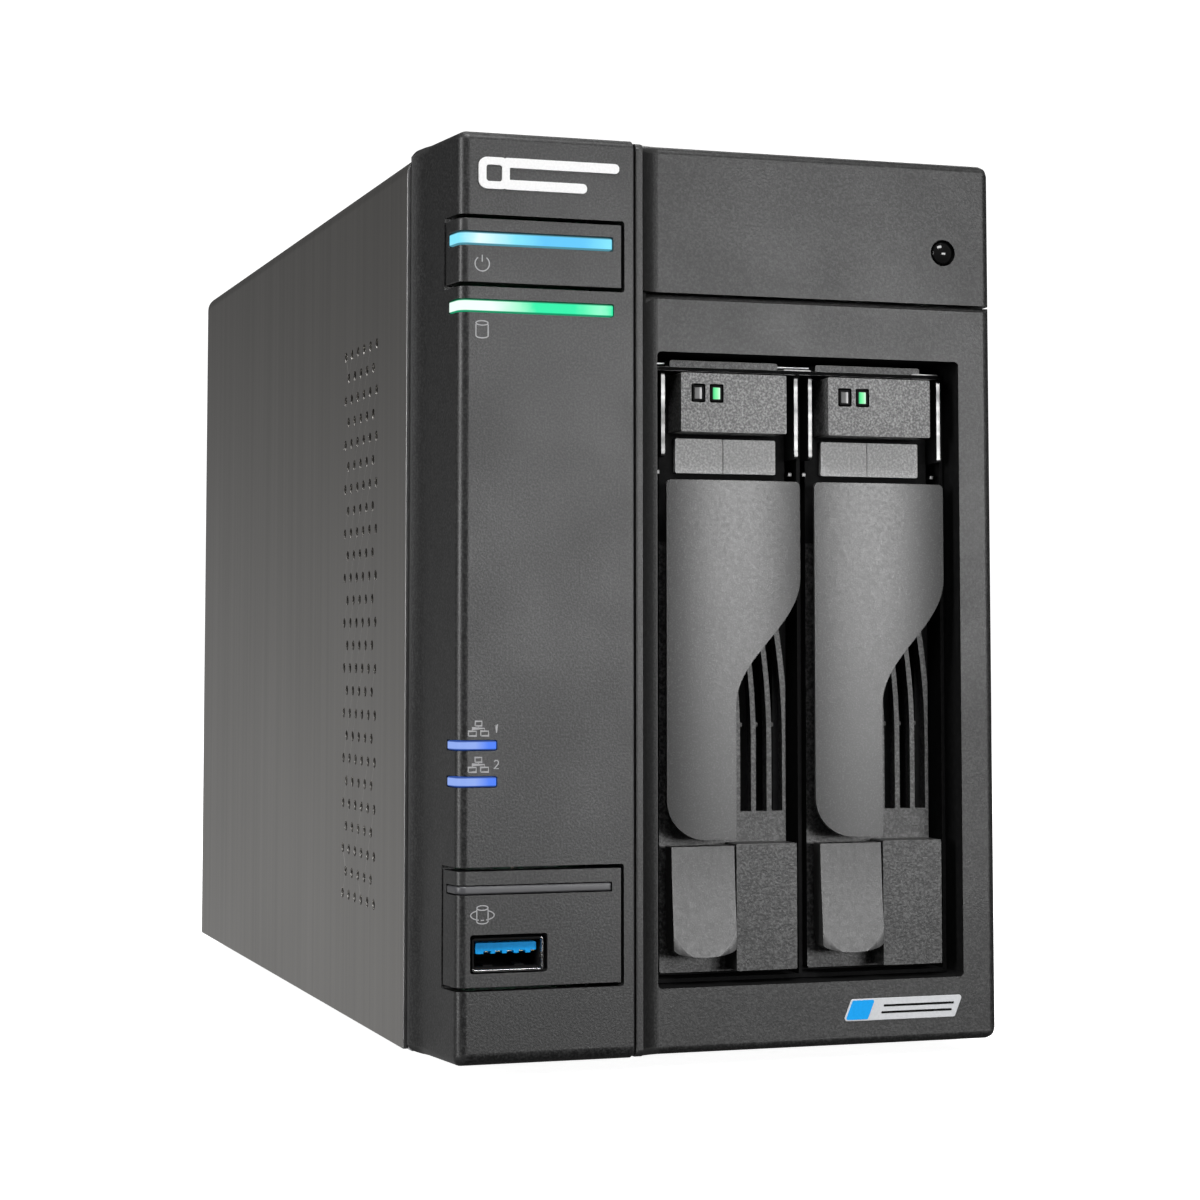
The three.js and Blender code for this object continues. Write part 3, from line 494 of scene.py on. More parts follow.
def cast(name):
    """Cast aluminium: a pebbled skin with machined sheen."""
    shader = Shader(name)
    shader.set(Metallic=0.9)
    pebble = shader.noise(900, 4, 0.6)
    base = shader.mix(shader.between(pebble, 0, 1, 0.3, 0.7), (0.34, 0.35, 0.36), (0.52, 0.53, 0.54))
    return shader.drive(
        Base_Color=base, Roughness=shader.between(pebble, 0.35, 0.55, 0.3, 0.7),
        Normal=shader.bump(pebble, 0.03, 0.6),
    )


def circuit(name):
    """Solder mask over copper: darker lanes, with tiny pads."""
    shader = Shader(name)
    lanes = shader.noise(1, 1, 0.4, shader.stretched(700, 700, 90))
    pads = shader.spots(420)
    mask = shader.mix(shader.between(lanes, 0, 1, 0.46, 0.54), (0.006, 0.05, 0.022), (0.012, 0.10, 0.045))
    base = shader.mix(shader.between(pads, 1, 0, 0.0, 0.16), mask, (0.55, 0.50, 0.38))
    return shader.drive(
        Base_Color=base, Roughness=shader.between(lanes, 0.3, 0.5),
        Normal=shader.bump(lanes, 0.02, 0.5),
    )


def lit(name, stops, span, strength=1.12):
    """A lit light guide; span is (low, high) along X in millimetres, from the first stop to the last."""
    shader = Shader(name)
    split = shader.nodes.new("ShaderNodeSeparateXYZ")
    shader.links.new(shader.coordinates, split.inputs["Vector"])
    along = shader.between(split.outputs["X"], 0, 1, span[0] * MM, span[1] * MM)
    cloudy = shader.nodes.new("ShaderNodeMath")
    cloudy.operation = "ADD"
    shader.links.new(along, cloudy.inputs[0])
    shader.links.new(shader.between(shader.noise(500, 3), -0.04, 0.04), cloudy.inputs[1])
    colour = shader.ramp(cloudy.outputs["Value"], stops)
    shader.set(Emission_Strength=strength, Roughness=0.5, Specular_IOR_Level=0.1)
    rim = shader.mix(shader.tilted(), colour, tinted(stops[-1][1], 0.35))
    faint = shader.mix(shader.noise(900), grey(0.01), grey(0.03))
    return shader.drive(Base_Color=faint, Emission_Color=rim)


def smoked_with_painted_highlight(name, span):
    """An unlit indicator window, with a painted highlight: its colour pales towards its right."""
    shader = Shader(name)
    split = shader.nodes.new("ShaderNodeSeparateXYZ")
    shader.links.new(shader.coordinates, split.inputs["Vector"])
    along = shader.between(split.outputs["X"], 0, 1, span[0] * MM, span[1] * MM)
    # Painted highlight: the base colour ramps from near-black to pale grey along X.
    base = shader.ramp(along, [(0.0, grey(0.02)), (0.6, grey(0.06)), (0.85, grey(0.5))])
    haze = shader.noise(700, 3)
    return shader.drive(
        Base_Color=base, Roughness=shader.between(haze, 0.3, 0.5), Normal=shader.bump(haze, 0.01, 0.3),
    )


def rubbery(name):
    shader = Shader(name)
    dust = shader.noise(500, 5, 0.7)
    base = shader.mix(shader.between(dust, 0, 0.6, 0.4, 0.8), grey(0.012), grey(0.05))
    return shader.drive(
        Base_Color=base, Roughness=shader.between(dust, 0.7, 0.95), Normal=shader.bump(dust, 0.05, 0.6),
    )


def ink(name, colour, gloss=0.5):
    """Even print or paint with a faint patchiness."""
    shader = Shader(name)
    shader.set(Specular_IOR_Level=gloss)
    patch = shader.noise(2400, 3)
    base = shader.mix(shader.between(patch, 0, 0.5, 0.3, 0.7), colour, tinted(colour, 0.8))
    return shader.drive(
        Base_Color=base, Roughness=shader.between(patch, 0.4, 0.6),
        Normal=shader.bump(patch, 0.01, 0.4),
    )


MATERIALS = {
    "column": moulded("column_plastic", (0.004, 0.004, 0.0042), (0.007, 0.007, 0.0072)),
    "bezel": moulded("bezel_plastic", grey(0.005), grey(0.008)),
    "tray": moulded("tray_plastic", grey(0.006), grey(0.012), grain=2400, depth=0.08, sparkle=0.07),
    "block": moulded("block_plastic", grey(0.04), grey(0.06), grain=2400, depth=0.08, sparkle=0.20),
    "hinge": moulded("hinge_cover_plastic", grey(0.26), grey(0.34), grain=2400, depth=0.08, sparkle=0.24),
    # Painted shade: a darker, less speckled copy of the bezel plastic for the ramp beside the post.
    "ramp_painted_shade": moulded("ramp_painted_shade_plastic", grey(0.004), grey(0.006), (0.38, 0.44), sparkle=0.01),
    "dark": moulded("black_plastic", grey(0.008), grey(0.014), grain=1800),
    "shadow": shadowed("shadowed_black"),
    "lever": satin("lever_plastic", grey(0.015), grey(0.025), (0.30, 0.35), 0.58),
    "release": satin("release_plastic", grey(0.02), grey(0.03), (0.32, 0.37), 0.42),
    "gloss": glossy("gloss_black", grey(0.004)),
    "cover": brushed("brushed_cover", (0.22, 0.21, 0.198), (0.31, 0.298, 0.283)),
    "zinc": plated("zinc_steel"),
    "bare": plated("bare_edge", grey(0.20), grey(0.24), (0.42, 0.46)),
    "bright": plated("bright_steel", (0.55, 0.55, 0.56), grey(0.75), (0.2, 0.32)),
    "edge": plated("worn_edge", grey(0.09), grey(0.20), (0.3, 0.45)),
    "cast": cast("cast_aluminium"),
    "circuit": circuit("circuit_board"),
    "rubber": rubbery("foot_rubber"),
    "painted": moulded("rear_paint", (0.020, 0.020, 0.021), (0.032, 0.032, 0.033), grain=1200, depth=0.02),
    "print": ink("pale_print", (0.36, 0.36, 0.37)),
    "white": ink("white_mark", grey(0.86)),
    "silver": ink("badge_silver", (0.60, 0.61, 0.63)),
    "blue": ink("port_blue", (0.002, 0.36, 0.88), 0.15),
    "gold": plated("contact_gold", (0.62, 0.42, 0.12), (0.85, 0.62, 0.24), (0.2, 0.3)),
    "unlit": glossy("unlit_guide", (0.065, 0.065, 0.07), (0.35, 0.45)),
}


# ---- Cover --------------------------------------------------------------------------------
SHEET = 1.0
VENT = {
    "radius": 0.98, "rows": 25, "most": 6, "pitch_y": 5.2, "pitch_z": 4.36, "behind_edge": 36,
    "height": 78.2,
}


def vent_circles(front_edge):
    """Staggered rows of six and five round holes."""
    centre_y = front_edge + VENT["behind_edge"]
    circles = []
    for row in range(VENT["rows"]):
        count = VENT["most"] - row % 2
        z = VENT["height"] + (row - (VENT["rows"] - 1) / 2) * VENT["pitch_z"]
        for i in range(count):
            y = centre_y + (i - (count - 1) / 2) * VENT["pitch_y"]
            circles.append(circle(y, z, VENT["radius"], 16))
    return circles


def build_cover():
    low, high = box_mm("cover")
    x, top, radius = high.x, high.z, 3.5
    outer = rounded([(-x, low.z, 0), (-x, top, radius), (x, top, radius), (x, low.z, 0)], 8)
    inner = rounded([
        (x - SHEET, low.z, 0), (x - SHEET, top - SHEET, radius - SHEET),
        (SHEET - x, top - SHEET, radius - SHEET), (SHEET - x, low.z, 0),
    ], 8)
    shell = prism("cover_shell", outer + inner, "Y", low.y, high.y)
    for side in SIDES:
        centre = centre_mm(f"thumb_screw_{side}")
        half = 5.5
        y0 = box_mm("rear_panel")[1].y
        out = math.copysign(x - SHEET, centre.x)
        inwards = math.copysign(2 * half, centre.x)
        xs = sorted((out + math.copysign(0.5, centre.x), out - inwards))
        tab = prism("tab", rectangle(*xs, centre.z - half, centre.z + half, 1.2), "Y", y0, y0 + SHEET)
        cut(tab, prism("hole", circle(centre.x, centre.z, 2), "Y", y0 - 1, y0 + 2))
        fuse(shell, tab)

    def radius_at(middle, _direction):
        outside = abs(middle.x) > x - 0.9 * SHEET or middle.z > top - 0.9 * SHEET
        return 0.2 if outside and middle.y < low.y + 0.01 else 0

    round_edges(shell, radius_at, 4)
    soften(shell, 0.16, 2, 50)
    vents = vent_circles(low.y)
    cut(shell, prisms("vents", vents, "X", -x - 1, 3 - x), prisms("vents", vents, "X", x - 3, x + 1))
    finish_piece(shell, "chassis", ["cover", "bare"], ["cover"], "brushed_metal")
    for face in shell.data.polygons:
        if face.center.y / MM < low.y + 0.45 and face.normal.y < -0.1:
            face.material_index = 1


# ---- Front column -------------------------------------------------------------------------
BEZEL_DEPTH = 20.0
SLOPE = 0.1275
FLARE = 1.45
FLARE_FRONT = 15.0
LEFT_PART = -40.0
MID_HEIGHT = 80.0
COLUMN_LEFT = box_mm("column_panel")[0].x + SLOPE * BEZEL_DEPTH + FLARE
CORNER = 1.8
WRAP = 5.0
BUTTON_WRAP = 6.5
GROOVE = 0.7


def side_x(depth, inset):
    """The column's left side at a depth: it leans outwards, and flares to meet the cover."""
    flared = max(0, (depth - FLARE_FRONT) / (BEZEL_DEPTH - FLARE_FRONT))
    return COLUMN_LEFT - SLOPE * depth - FLARE * flared**2 + inset * math.hypot(1, SLOPE)


def flare_side(rear, inset, steps=8):
    """Points along the flare, from a rear depth to the flare's front."""
    depths = [rear + (FLARE_FRONT - rear) * k / steps for k in range(steps + 1)]
    return [(side_x(depth, inset), FACE + depth) for depth in depths]


def flare_out(column, steps=8):
    """Bends the rear of the column's left side outwards."""
    bm = bmesh.new()
    bm.from_mesh(column.data)
    for k in range(steps):
        depth = FLARE_FRONT + (BEZEL_DEPTH - FLARE_FRONT) * k / steps
        everything = bm.verts[:] + bm.edges[:] + bm.faces[:]
        bmesh.ops.bisect_plane(
            bm, geom=everything, plane_co=(0, (FACE + depth) * MM, 0), plane_no=(0, 1, 0),
        )
    for vert in bm.verts:
        beyond = (vert.co.y / MM - FACE - FLARE_FRONT) / (BEZEL_DEPTH - FLARE_FRONT)
        if vert.co.x / MM < LEFT_PART and beyond > 0:
            vert.co.x -= FLARE * beyond**2 * MM
    bm.to_mesh(column.data)
    bm.free()


def corner_band(name, z0, z1, x_end, depth_end, outer, inner):
    """A band of the column's skin: along the front, round the left corner and back to depth_end."""

    def corner(inset):
        return (side_x(inset, inset), FACE + inset, max(CORNER - inset, 0))

    points = rounded([
        (x_end, FACE + outer, 0), corner(outer), (side_x(depth_end, outer), FACE + depth_end, 0),
        (side_x(depth_end, inner), FACE + depth_end, 0), corner(inner), (x_end, FACE + inner, 0),
    ], 8)
    return prism(name, points, "Z", z0, z1)


def window(name, node, margin_x, margin_z, depth, radius):
    """A cutter for the opening that a wrapped piece sits in."""
    low, high = box_mm(node)
    outline = rounded([
        (-60, low.z - margin_z, 0), (high.x + margin_x, low.z - margin_z, radius),
        (high.x + margin_x, high.z + margin_z, radius), (-60, high.z + margin_z, 0),
    ])
    return prism(name, outline, "Y", FACE - 1, FACE + depth)


def build_column():
    low, high = box_mm("column_panel")
    rear = FACE + BEZEL_DEPTH
    plan = [(COLUMN_LEFT, FACE), (high.x, FACE), (high.x, rear), (COLUMN_LEFT - SLOPE * BEZEL_DEPTH, rear)]
    column = prism("column_shell", plan, "Z", low.z, high.z)

    def radius_at(middle, direction):
        upright = abs(direction.z) > 0.9
        across = abs(direction.x) > 0.9
        at_left = middle.x < LEFT_PART
        at_top = middle.z > MID_HEIGHT
        if middle.y < FACE + 0.1:
            if upright:
                return CORNER if at_left else 0.35
            return 1.5 if at_top else 2.4
        if middle.y > rear - 0.1:
            rear_corner = 3.4 if at_top else 2.6
            return rear_corner if across else (0.4 if at_left else 0)
        return 1.5 if at_left else 0.35

    round_edges(column, radius_at)
    flare_out(column)
    wall = 2.2
    right = high.x - 2
    back = BEZEL_DEPTH + 1
    cavity = prism("cavity", [
        (side_x(wall, wall), FACE + wall), (right, FACE + wall),
        (right, FACE + back), *flare_side(back, wall),
    ], "Z", low.z + wall, high.z - wall)
    tools = [cavity]
    for node in ("power_button", "copy_button"):
        tools.append(window("window", node, 0.55, GROOVE, BUTTON_WRAP + GROOVE, 0.5))
    for node in ("disk_light", "lan_light_1", "lan_light_2"):
        tools.append(window("slot", node, 0.15, 0.15, WRAP + 0.15, 0.45))
    cut(column, *tools)
    soften(column, 0.16)
    finish_piece(column, "chassis", "column", ["column_panel"], "column_plastic")


ICE, SKY, AZURE = (0.72, 0.90, 0.92), (0.20, 0.72, 0.92), (0.10, 0.52, 0.88)
MINT, GREEN, LIME = (0.80, 0.95, 0.88), (0.01, 0.80, 0.36), (0.26, 0.92, 0.55)
PALE, ROYAL = (0.24, 0.36, 0.78), (0.06, 0.19, 0.84)
LAN_STOPS = [(0.0, PALE), (0.45, PALE), (0.8, ROYAL)]
LIT = {
    "power_light": (
        "power_key", [(0.0, SKY), (0.13, ICE), (0.36, SKY), (0.55, AZURE), (0.8, AZURE), (1.0, SKY)],
    ),
    "disk_light": (
        "chassis", [(0.0, MINT), (0.2, MINT), (0.5, GREEN), (0.75, GREEN), (0.93, LIME), (1.0, GREEN)],
    ),
    "lan_light_1": ("chassis", LAN_STOPS),
    "lan_light_2": ("chassis", LAN_STOPS),
}


def build_lights():
    for node in ("power_light", "disk_light", "lan_light_1", "lan_light_2", "copy_light"):
        low, high = box_mm(node)
        bar = corner_band(node + "_guide", low.z, high.z, high.x, WRAP, 0, 2.1)
        soften(bar, 0.3, 3)
        if node == "copy_light":
            finish_piece(bar, "copy_key", "unlit", [node], "unlit_light")
            continue
        body, stops = LIT[node]
        material = lit(node + "_glow", stops, (COLUMN_LEFT, high.x))
        slot = "green_light" if node == "disk_light" else "blue_light"
        finish_piece(bar, body, material, [node], slot)


def light_slot(node):
    low, high = box_mm(node)
    return corner_band("slot", low.z - 0.15, high.z + 0.15, high.x + 0.15, WRAP + 0.15, -1, 2.3)


def build_button(node, light, body, opening=None):
    low, high = box_mm(node)
    key = corner_band(node + "_key", low.z, high.z, high.x, BUTTON_WRAP, 0, 3.6)
    cut(key, light_slot(light))
    if opening:
        cut(key, opening)
    soften(key, 0.2)
    finish_piece(key, body, "column", [node], "column_plastic")


def build_buttons():
    build_button("power_button", "power_light", "power_key")
    low, high = box_mm("front_usb_shell")
    outline = rectangle(low.x - 0.4, high.x + 0.7, low.z - 0.3, high.z + 0.6, 0.5)
    hole = prism("usb_hole", outline, "Y", FACE - 1, FACE + 8)
    build_button("copy_button", "copy_light", "copy_key", hole)


# ---- Printed signs ------------------------------------------------------------------------
INK = 0.02


def stroke(points, width):
    """The outline of a line of even width along points."""
    points = [Vector(p[:2]) for p in points]
    left, right = [], []
    for i, here in enumerate(points):
        before = points[max(i - 1, 0)]
        after = points[min(i + 1, len(points) - 1)]
        along = (after - before).normalized()
        normal = Vector((-along.y, along.x))
        if 0 < i < len(points) - 1:
            half = max(0.35, normal.dot(Vector((before.y - here.y, here.x - before.x)).normalized()))
        else:
            half = 1
        left.append(here + normal * (width / 2 / half))
        right.append(here - normal * (width / 2 / half))
    return left + right[::-1]


def arc(centre_x, centre_z, radius_x, radius_z, start, end, steps=20):
    points = []
    for k in range(steps + 1):
        t = math.radians(start + (end - start) * k / steps)
        points.append((centre_x + radius_x * math.cos(t), centre_z + radius_z * math.sin(t)))
    return points


def box_line(x, z, w, h):
    """A rectangle drawn as one line that stops just short of closing."""
    return [(x, z + 0.02), (x, z + h), (x + w, z + h), (x + w, z), (x + 0.02, z)]


def print_sign(name, lines, body, width=0.2):
    sign = prisms(name, [stroke(line, width) for line in lines], "Y", FACE - INK, FACE + INK)
    finish_piece(sign, body, "print", slot="white_mark")


def disk_lines(x, z, w, h):
    """A storage cylinder: a flat ring on top, and its side and base."""
    rx, rz = w / 2, h * 0.13
    top = arc(x, z + h / 2 - rz, rx, rz, 0, 358)
    side = [
        (x - rx, z + h / 2 - 1.6 * rz), *arc(x, z - h / 2 + rz, rx, rz, 180, 360),
        (x + rx, z + h / 2 - 1.6 * rz),
    ]
    return [top, side]


def network_lines(x, z):
    """Three boxes joined by lines: one above, two below."""
    box_w, box_h = 1.2, 0.8
    lines = [
        box_line(x - box_w / 2, z + 0.45, box_w, box_h),
        box_line(x - 1.8, z - 1.25, box_w + 0.2, box_h),
        box_line(x + 0.4, z - 1.25, box_w + 0.2, box_h),
        [(x - 1.1, z - 0.4), (x - 1.1, z + 0.02), (x + 1.1, z + 0.02), (x + 1.1, z - 0.4)],
        [(x, z + 0.06), (x, z + 0.4)],
    ]
    return lines


DIGITS = {
    1: [[(-0.3, 0.45), (0.02, 0.75), (0.02, -0.75)]],
    2: [[(-0.38, 0.45), (-0.2, 0.7), (0.2, 0.7), (0.38, 0.4), (0.3, 0.05), (-0.38, -0.7), (0.42, -0.7)]],
}


def build_signs():
    left = COLUMN_LEFT + 4.0
    power_z = box_mm("power_button")[0].z + 3.3
    ring = arc(left, power_z, 1.3, 1.3, 125, 415, 28)
    print_sign("power_sign", [ring, [(left, power_z + 0.35), (left, power_z + 1.55)]], "power_key")
    disk_z = box_mm("disk_light")[0].z - 3.1
    print_sign("disk_sign", disk_lines(left, disk_z, 2.2, 3.0), "chassis")
    for number in (1, 2):
        z = box_mm(f"lan_light_{number}")[1].z + 2.1
        x = left - 0.4
        digit = [[(x + 3.2 + a, z + b) for a, b in line] for line in DIGITS[number]]
        print_sign(f"lan_sign_{number}", network_lines(x, z) + digit, "chassis", 0.18)
    copy_z = box_mm("copy_light")[0].z - 3.55
    x = left + 0.4
    orbit = [
        arc(x, copy_z, 2.1, 0.85, start, end, 14)
        for start, end in ((120, 252), (262, 278), (288, 420))
    ]
    print_sign("copy_sign", disk_lines(x, copy_z + 0.1, 2.0, 3.1) + orbit, "copy_key", 0.18)


def build_emblem():
    low, high = box_mm("emblem")
    height = high.z - low.z
    ring = prism("emblem_mark", rectangle(low.x, low.x + height, low.z, high.z, 1.5), "Y", low.y, high.y)
    inset = 1.35
    hole = rectangle(low.x + inset, low.x + height - inset, low.z + inset, high.z - inset, 0.5)
    cut(ring, prism("hole", hole, "Y", low.y - 1, high.y + 1))
    bar = height * 0.31
    for z0, x1 in ((high.z - bar, high.x), (low.z, high.x - 6)):
        pill = rectangle(low.x + height - 1.2, x1, z0, z0 + bar, bar * 0.45)
        fuse(ring, prism("bar", pill, "Y", low.y, high.y))
    soften(ring, 0.14, 3)
    finish_piece(ring, "chassis", "white", ["emblem"], "white_mark")


# ---- Front USB port -----------------------------------------------------------------------
def build_front_usb():
    """A bright steel shell with a notched blue tongue; painted shade makes its inside and the top and left
    of its mouth near-black.
    """
    low, high = box_mm("front_usb_shell")
    wall = 0.35
    mouth = low.y + 1.1
    shell = prism("usb_shell", rectangle(low.x, high.x, low.z, high.z, 0.5), "Y", low.y, high.y)
    inner = rectangle(low.x + wall, high.x - wall, low.z + wall, high.z - wall, 0.25)
    cut(shell, prism("inner", inner, "Y", low.y - 1, mouth))
    narrow = rectangle(low.x + 0.6, high.x - 0.6, low.z + 0.6, high.z - 0.6, 0.2)
    cut(shell, prism("inner", narrow, "Y", mouth - 0.1, high.y - 1))
    springs = [rectangle(x, x + 1.8, low.z + 0.3, low.z + 0.9, 0.1, 2) for x in (low.x + 2.6, high.x - 4.4)]
    fuse(shell, prisms("springs", springs, "Y", low.y + 2.6, low.y + 7))
    soften(shell, 0.1, 2)
    finish_piece(shell, "chassis", ["bright", "shadow"], ["front_usb_shell"], "zinc_steel")
    # Painted shade: only the bottom and right of the mouth keep bright steel; the rest of the shell is
    # near-black.
    for face in shell.data.polygons:
        centre = face.center / MM
        bright = centre.z < low.z + 0.55 or centre.x > high.x - 0.4
        if centre.y > mouth - 0.15 or not bright:
            face.material_index = 1
    low, high = box_mm("front_usb_tongue")
    tongue = prism("usb_tongue", rectangle(low.x, high.x, low.z, high.z, 0.3), "Y", low.y, high.y)
    pads_x = [low.x + 2.1 * (i + 1) for i in range(5)]
    notches = [rectangle(x - 0.6, x + 0.6, low.z - 1, low.z + 0.45) for x in pads_x]
    cut(tongue, prisms("notches", notches, "Y", low.y - 1, low.y + 2))
    soften(tongue, 0.1, 2)
    finish_piece(tongue, "chassis", "blue", ["front_usb_tongue"], "port_blue")
    pads = [rectangle(x - 0.4, x + 0.4, low.z + 0.3, low.z + 0.5) for x in pads_x]
    contacts = prisms("usb_contacts", pads, "Y", low.y + 0.7, low.y + 2.2)
    finish_piece(contacts, "chassis", "gold", slot="zinc_steel")


# ---- Bay frame, top panel, lens, badge ----------------------------------------------------
BEZEL_FACE = 1.7
BEZEL_WALL = 2.2
POST_LEFT = box_mm("bay_frame")[0].x
RIGHT_FACE = box_mm("top_panel")[1].x - 0.4
BAY = {"left": -12.8, "right": 46.2, "bottom": 13.7, "top": 126.1}
CHAMFER = 0.8


STEP = -16.05
RAMP = bezier(
    (STEP, FACE + 0.15), (-15.0, FACE + 1.05), (-13.6, FACE + 1.55), (-12.4, FACE + BEZEL_FACE), 12,
)


def bezel_block(name, z0, z1, corner_low, corner_high, top_chamfer=0.0):
    """Part of the bezel's right section, from the ramp beside the post to the rounded right corners."""
    x0 = STEP
    y0 = FACE + BEZEL_FACE
    y1 = FACE + BEZEL_DEPTH
    right = RIGHT_FACE
    solid = prism(name, [*RAMP, (right, y0), (right + 0.4, y1), (x0, y1)], "Z", z0, z1)

    def radius_at(middle, direction):
        upright = abs(direction.z) > 0.9
        across = abs(direction.x) > 0.6
        outside_low = middle.z < z0 + 0.1 and corner_low
        outside_high = middle.z > z1 - 0.1 and corner_high
        if upright:
            return 1.6 if middle.x > right - 1 and middle.y < y0 + 0.1 else 0
        if not (outside_low or outside_high):
            return 0
        if across:
            return 1.5 if middle.y < y0 + 0.1 else 2.4
        return 2.0 if middle.x > right - 1 else 0

    round_edges(solid, radius_at)
    if top_chamfer:
        wedge = [(y0 - 1, z1 + 1), (y0 - 1, z1 - top_chamfer - 1), (y0 + top_chamfer + 1, z1 + 1)]
        cut(solid, prism("wedge", wedge, "X", x0 - 1, right + 2))
    return solid


def on_ramp(face):
    """True on the steep part of the ramp beside the post, where painted shade goes."""
    return STEP - 0.05 < face.center.x / MM < STEP + 6 and face.normal.x > 0.3


def build_bay_frame():
    low, high = box_mm("bay_frame")
    split = box_mm("top_panel")[0].z - 0.4
    rear = FACE + BEZEL_DEPTH
    plan = rounded([(POST_LEFT, FACE, 0.3), (STEP, FACE, 0.12), (STEP, rear, 0), (POST_LEFT, rear, 0)], 3)
    post = prism("bay_frame_shell", plan, "Z", low.z, high.z)
    profile = rounded([
        (FACE, low.z, 1.6), (rear, low.z, 2.6), (rear, high.z, 2.6), (FACE, high.z, 1.6),
    ], 8)
    common(post, prism("profile", profile, "X", POST_LEFT - 1, STEP + 1))
    section = bezel_block("section", low.z, split, True, False, CHAMFER)
    fuse(post, section)
    y0 = FACE + BEZEL_FACE + BEZEL_WALL
    hollow = block(
        "hollow", BAY["left"] - 1.6, high.x - 2.6, y0, FACE + BEZEL_DEPTH + 1,
        low.z + BEZEL_WALL, split - BEZEL_WALL,
    )
    collar = block(
        "collar", BAY["left"] - 3, BAY["right"] + 1.6, y0 - 1, FACE + BEZEL_DEPTH + 2,
        BAY["bottom"] - 1.6, BAY["top"] + 1.6,
    )
    cut(hollow, collar)
    opening = rectangle(BAY["left"], BAY["right"], BAY["bottom"], BAY["top"], 0.8)
    cut(post, hollow, prism("opening", opening, "Y", FACE - 1, FACE + BEZEL_DEPTH + 1))
    soften(post, 0.35, 3, 38)
    finish_piece(post, "chassis", ["bezel", "shadow", "ramp_painted_shade"], ["bay_frame"], "textured_plastic")
    # Painted shade: the bay opening's inner walls take the near-black shadow finish, and the ramp beside
    # the post the darker ramp plastic.
    for face in post.data.polygons:
        centre = face.center / MM
        inside_x = BAY["left"] - 0.1 < centre.x < BAY["right"] + 0.1
        inside_z = BAY["bottom"] - 0.1 < centre.z < BAY["top"] + 0.1
        if inside_x and inside_z and centre.y > FACE + BEZEL_FACE + 0.45:
            face.material_index = 1
        elif on_ramp(face):
            face.material_index = 2


def build_top_panel():
    low, high = box_mm("top_panel")
    panel = bezel_block("top_panel_shell", low.z, high.z, False, True)
    y0 = FACE + BEZEL_FACE + BEZEL_WALL
    cavity = block(
        "cavity", low.x + BEZEL_WALL, high.x - 2.6, y0, FACE + BEZEL_DEPTH + 1,
        low.z + BEZEL_WALL, high.z - BEZEL_WALL,
    )
    centre = centre_mm("ir_lens")
    hole = prism("hole", circle(centre.x, centre.z, 2.45, 40), "Y", FACE - 1, FACE + 8)
    cut(panel, cavity, hole)
    soften(panel, 0.2, 2, 38)
    finish_piece(panel, "chassis", ["bezel", "ramp_painted_shade"], ["top_panel"], "textured_plastic")
    # Painted shade: the ramp beside the post takes the darker ramp plastic.
    for face in panel.data.polygons:
        if on_ramp(face):
            face.material_index = 1


def build_lens():
    low, high = box_mm("ir_lens")
    centre = (low + high) / 2
    radius = (high.x - low.x) / 2
    dome = [
        (radius * math.sin(t), 1.5 * (1 - math.cos(t)))
        for t in (math.radians(9 * k) for k in range(11))
    ]
    lens = lathe("ir_dome", [*dome, (radius, 8.5), (0, 8.5)], (centre.x, low.y, centre.z), "Y", 40)
    finish_piece(lens, "chassis", "gloss", ["ir_lens"], "glossy_black")


def build_badge():
    """A plain slanted plate with a blue end and two lines."""
    low, high = box_mm("badge")
    slant = 1.6

    def leaning(x0, x1, z0, z1, radius):
        def lean(z):
            return slant * (z - low.z) / (high.z - low.z)
        return rounded([
            (x0 + lean(z0), z0, radius), (x1 - slant + lean(z0), z0, radius),
            (x1 - slant + lean(z1), z1, radius), (x0 + lean(z1), z1, radius),
        ])

    plate = prism("badge_plate", leaning(low.x, high.x, low.z, high.z, 0.5), "Y", low.y, high.y)
    soften(plate, 0.1, 2)
    finish_piece(plate, "chassis", "silver", ["badge"], "badge_silver")
    end = leaning(low.x + 0.3, low.x + 6.2, low.z + 0.25, high.z - 0.25, 0.3)
    blue_end = prism("badge_end", end, "Y", low.y - 0.05, low.y + 0.1)
    finish_piece(blue_end, "chassis", "blue", slot="port_blue")
    middle = (low.z + high.z) / 2
    lines = [
        leaning(low.x + 6.8, high.x - 1.2, z - 0.2, z + 0.2, 0.15)
        for z in (middle - 0.6, middle + 0.6)
    ]
    dark_lines = prisms("badge_lines", lines, "Y", low.y - 0.03, low.y + 0.1)
    finish_piece(dark_lines, "chassis", "gloss", slot="glossy_black")


# ---- Drive trays --------------------------------------------------------------------------
PIVOT_Y = FACE + 7
PIVOT_Z = 101.2
PIN_BORE = 1.3
EYE = 1.9
EYE_ROUND = 1.85


def tray_centre(side):
    return centre_mm(f"tray_frame_{side}").x


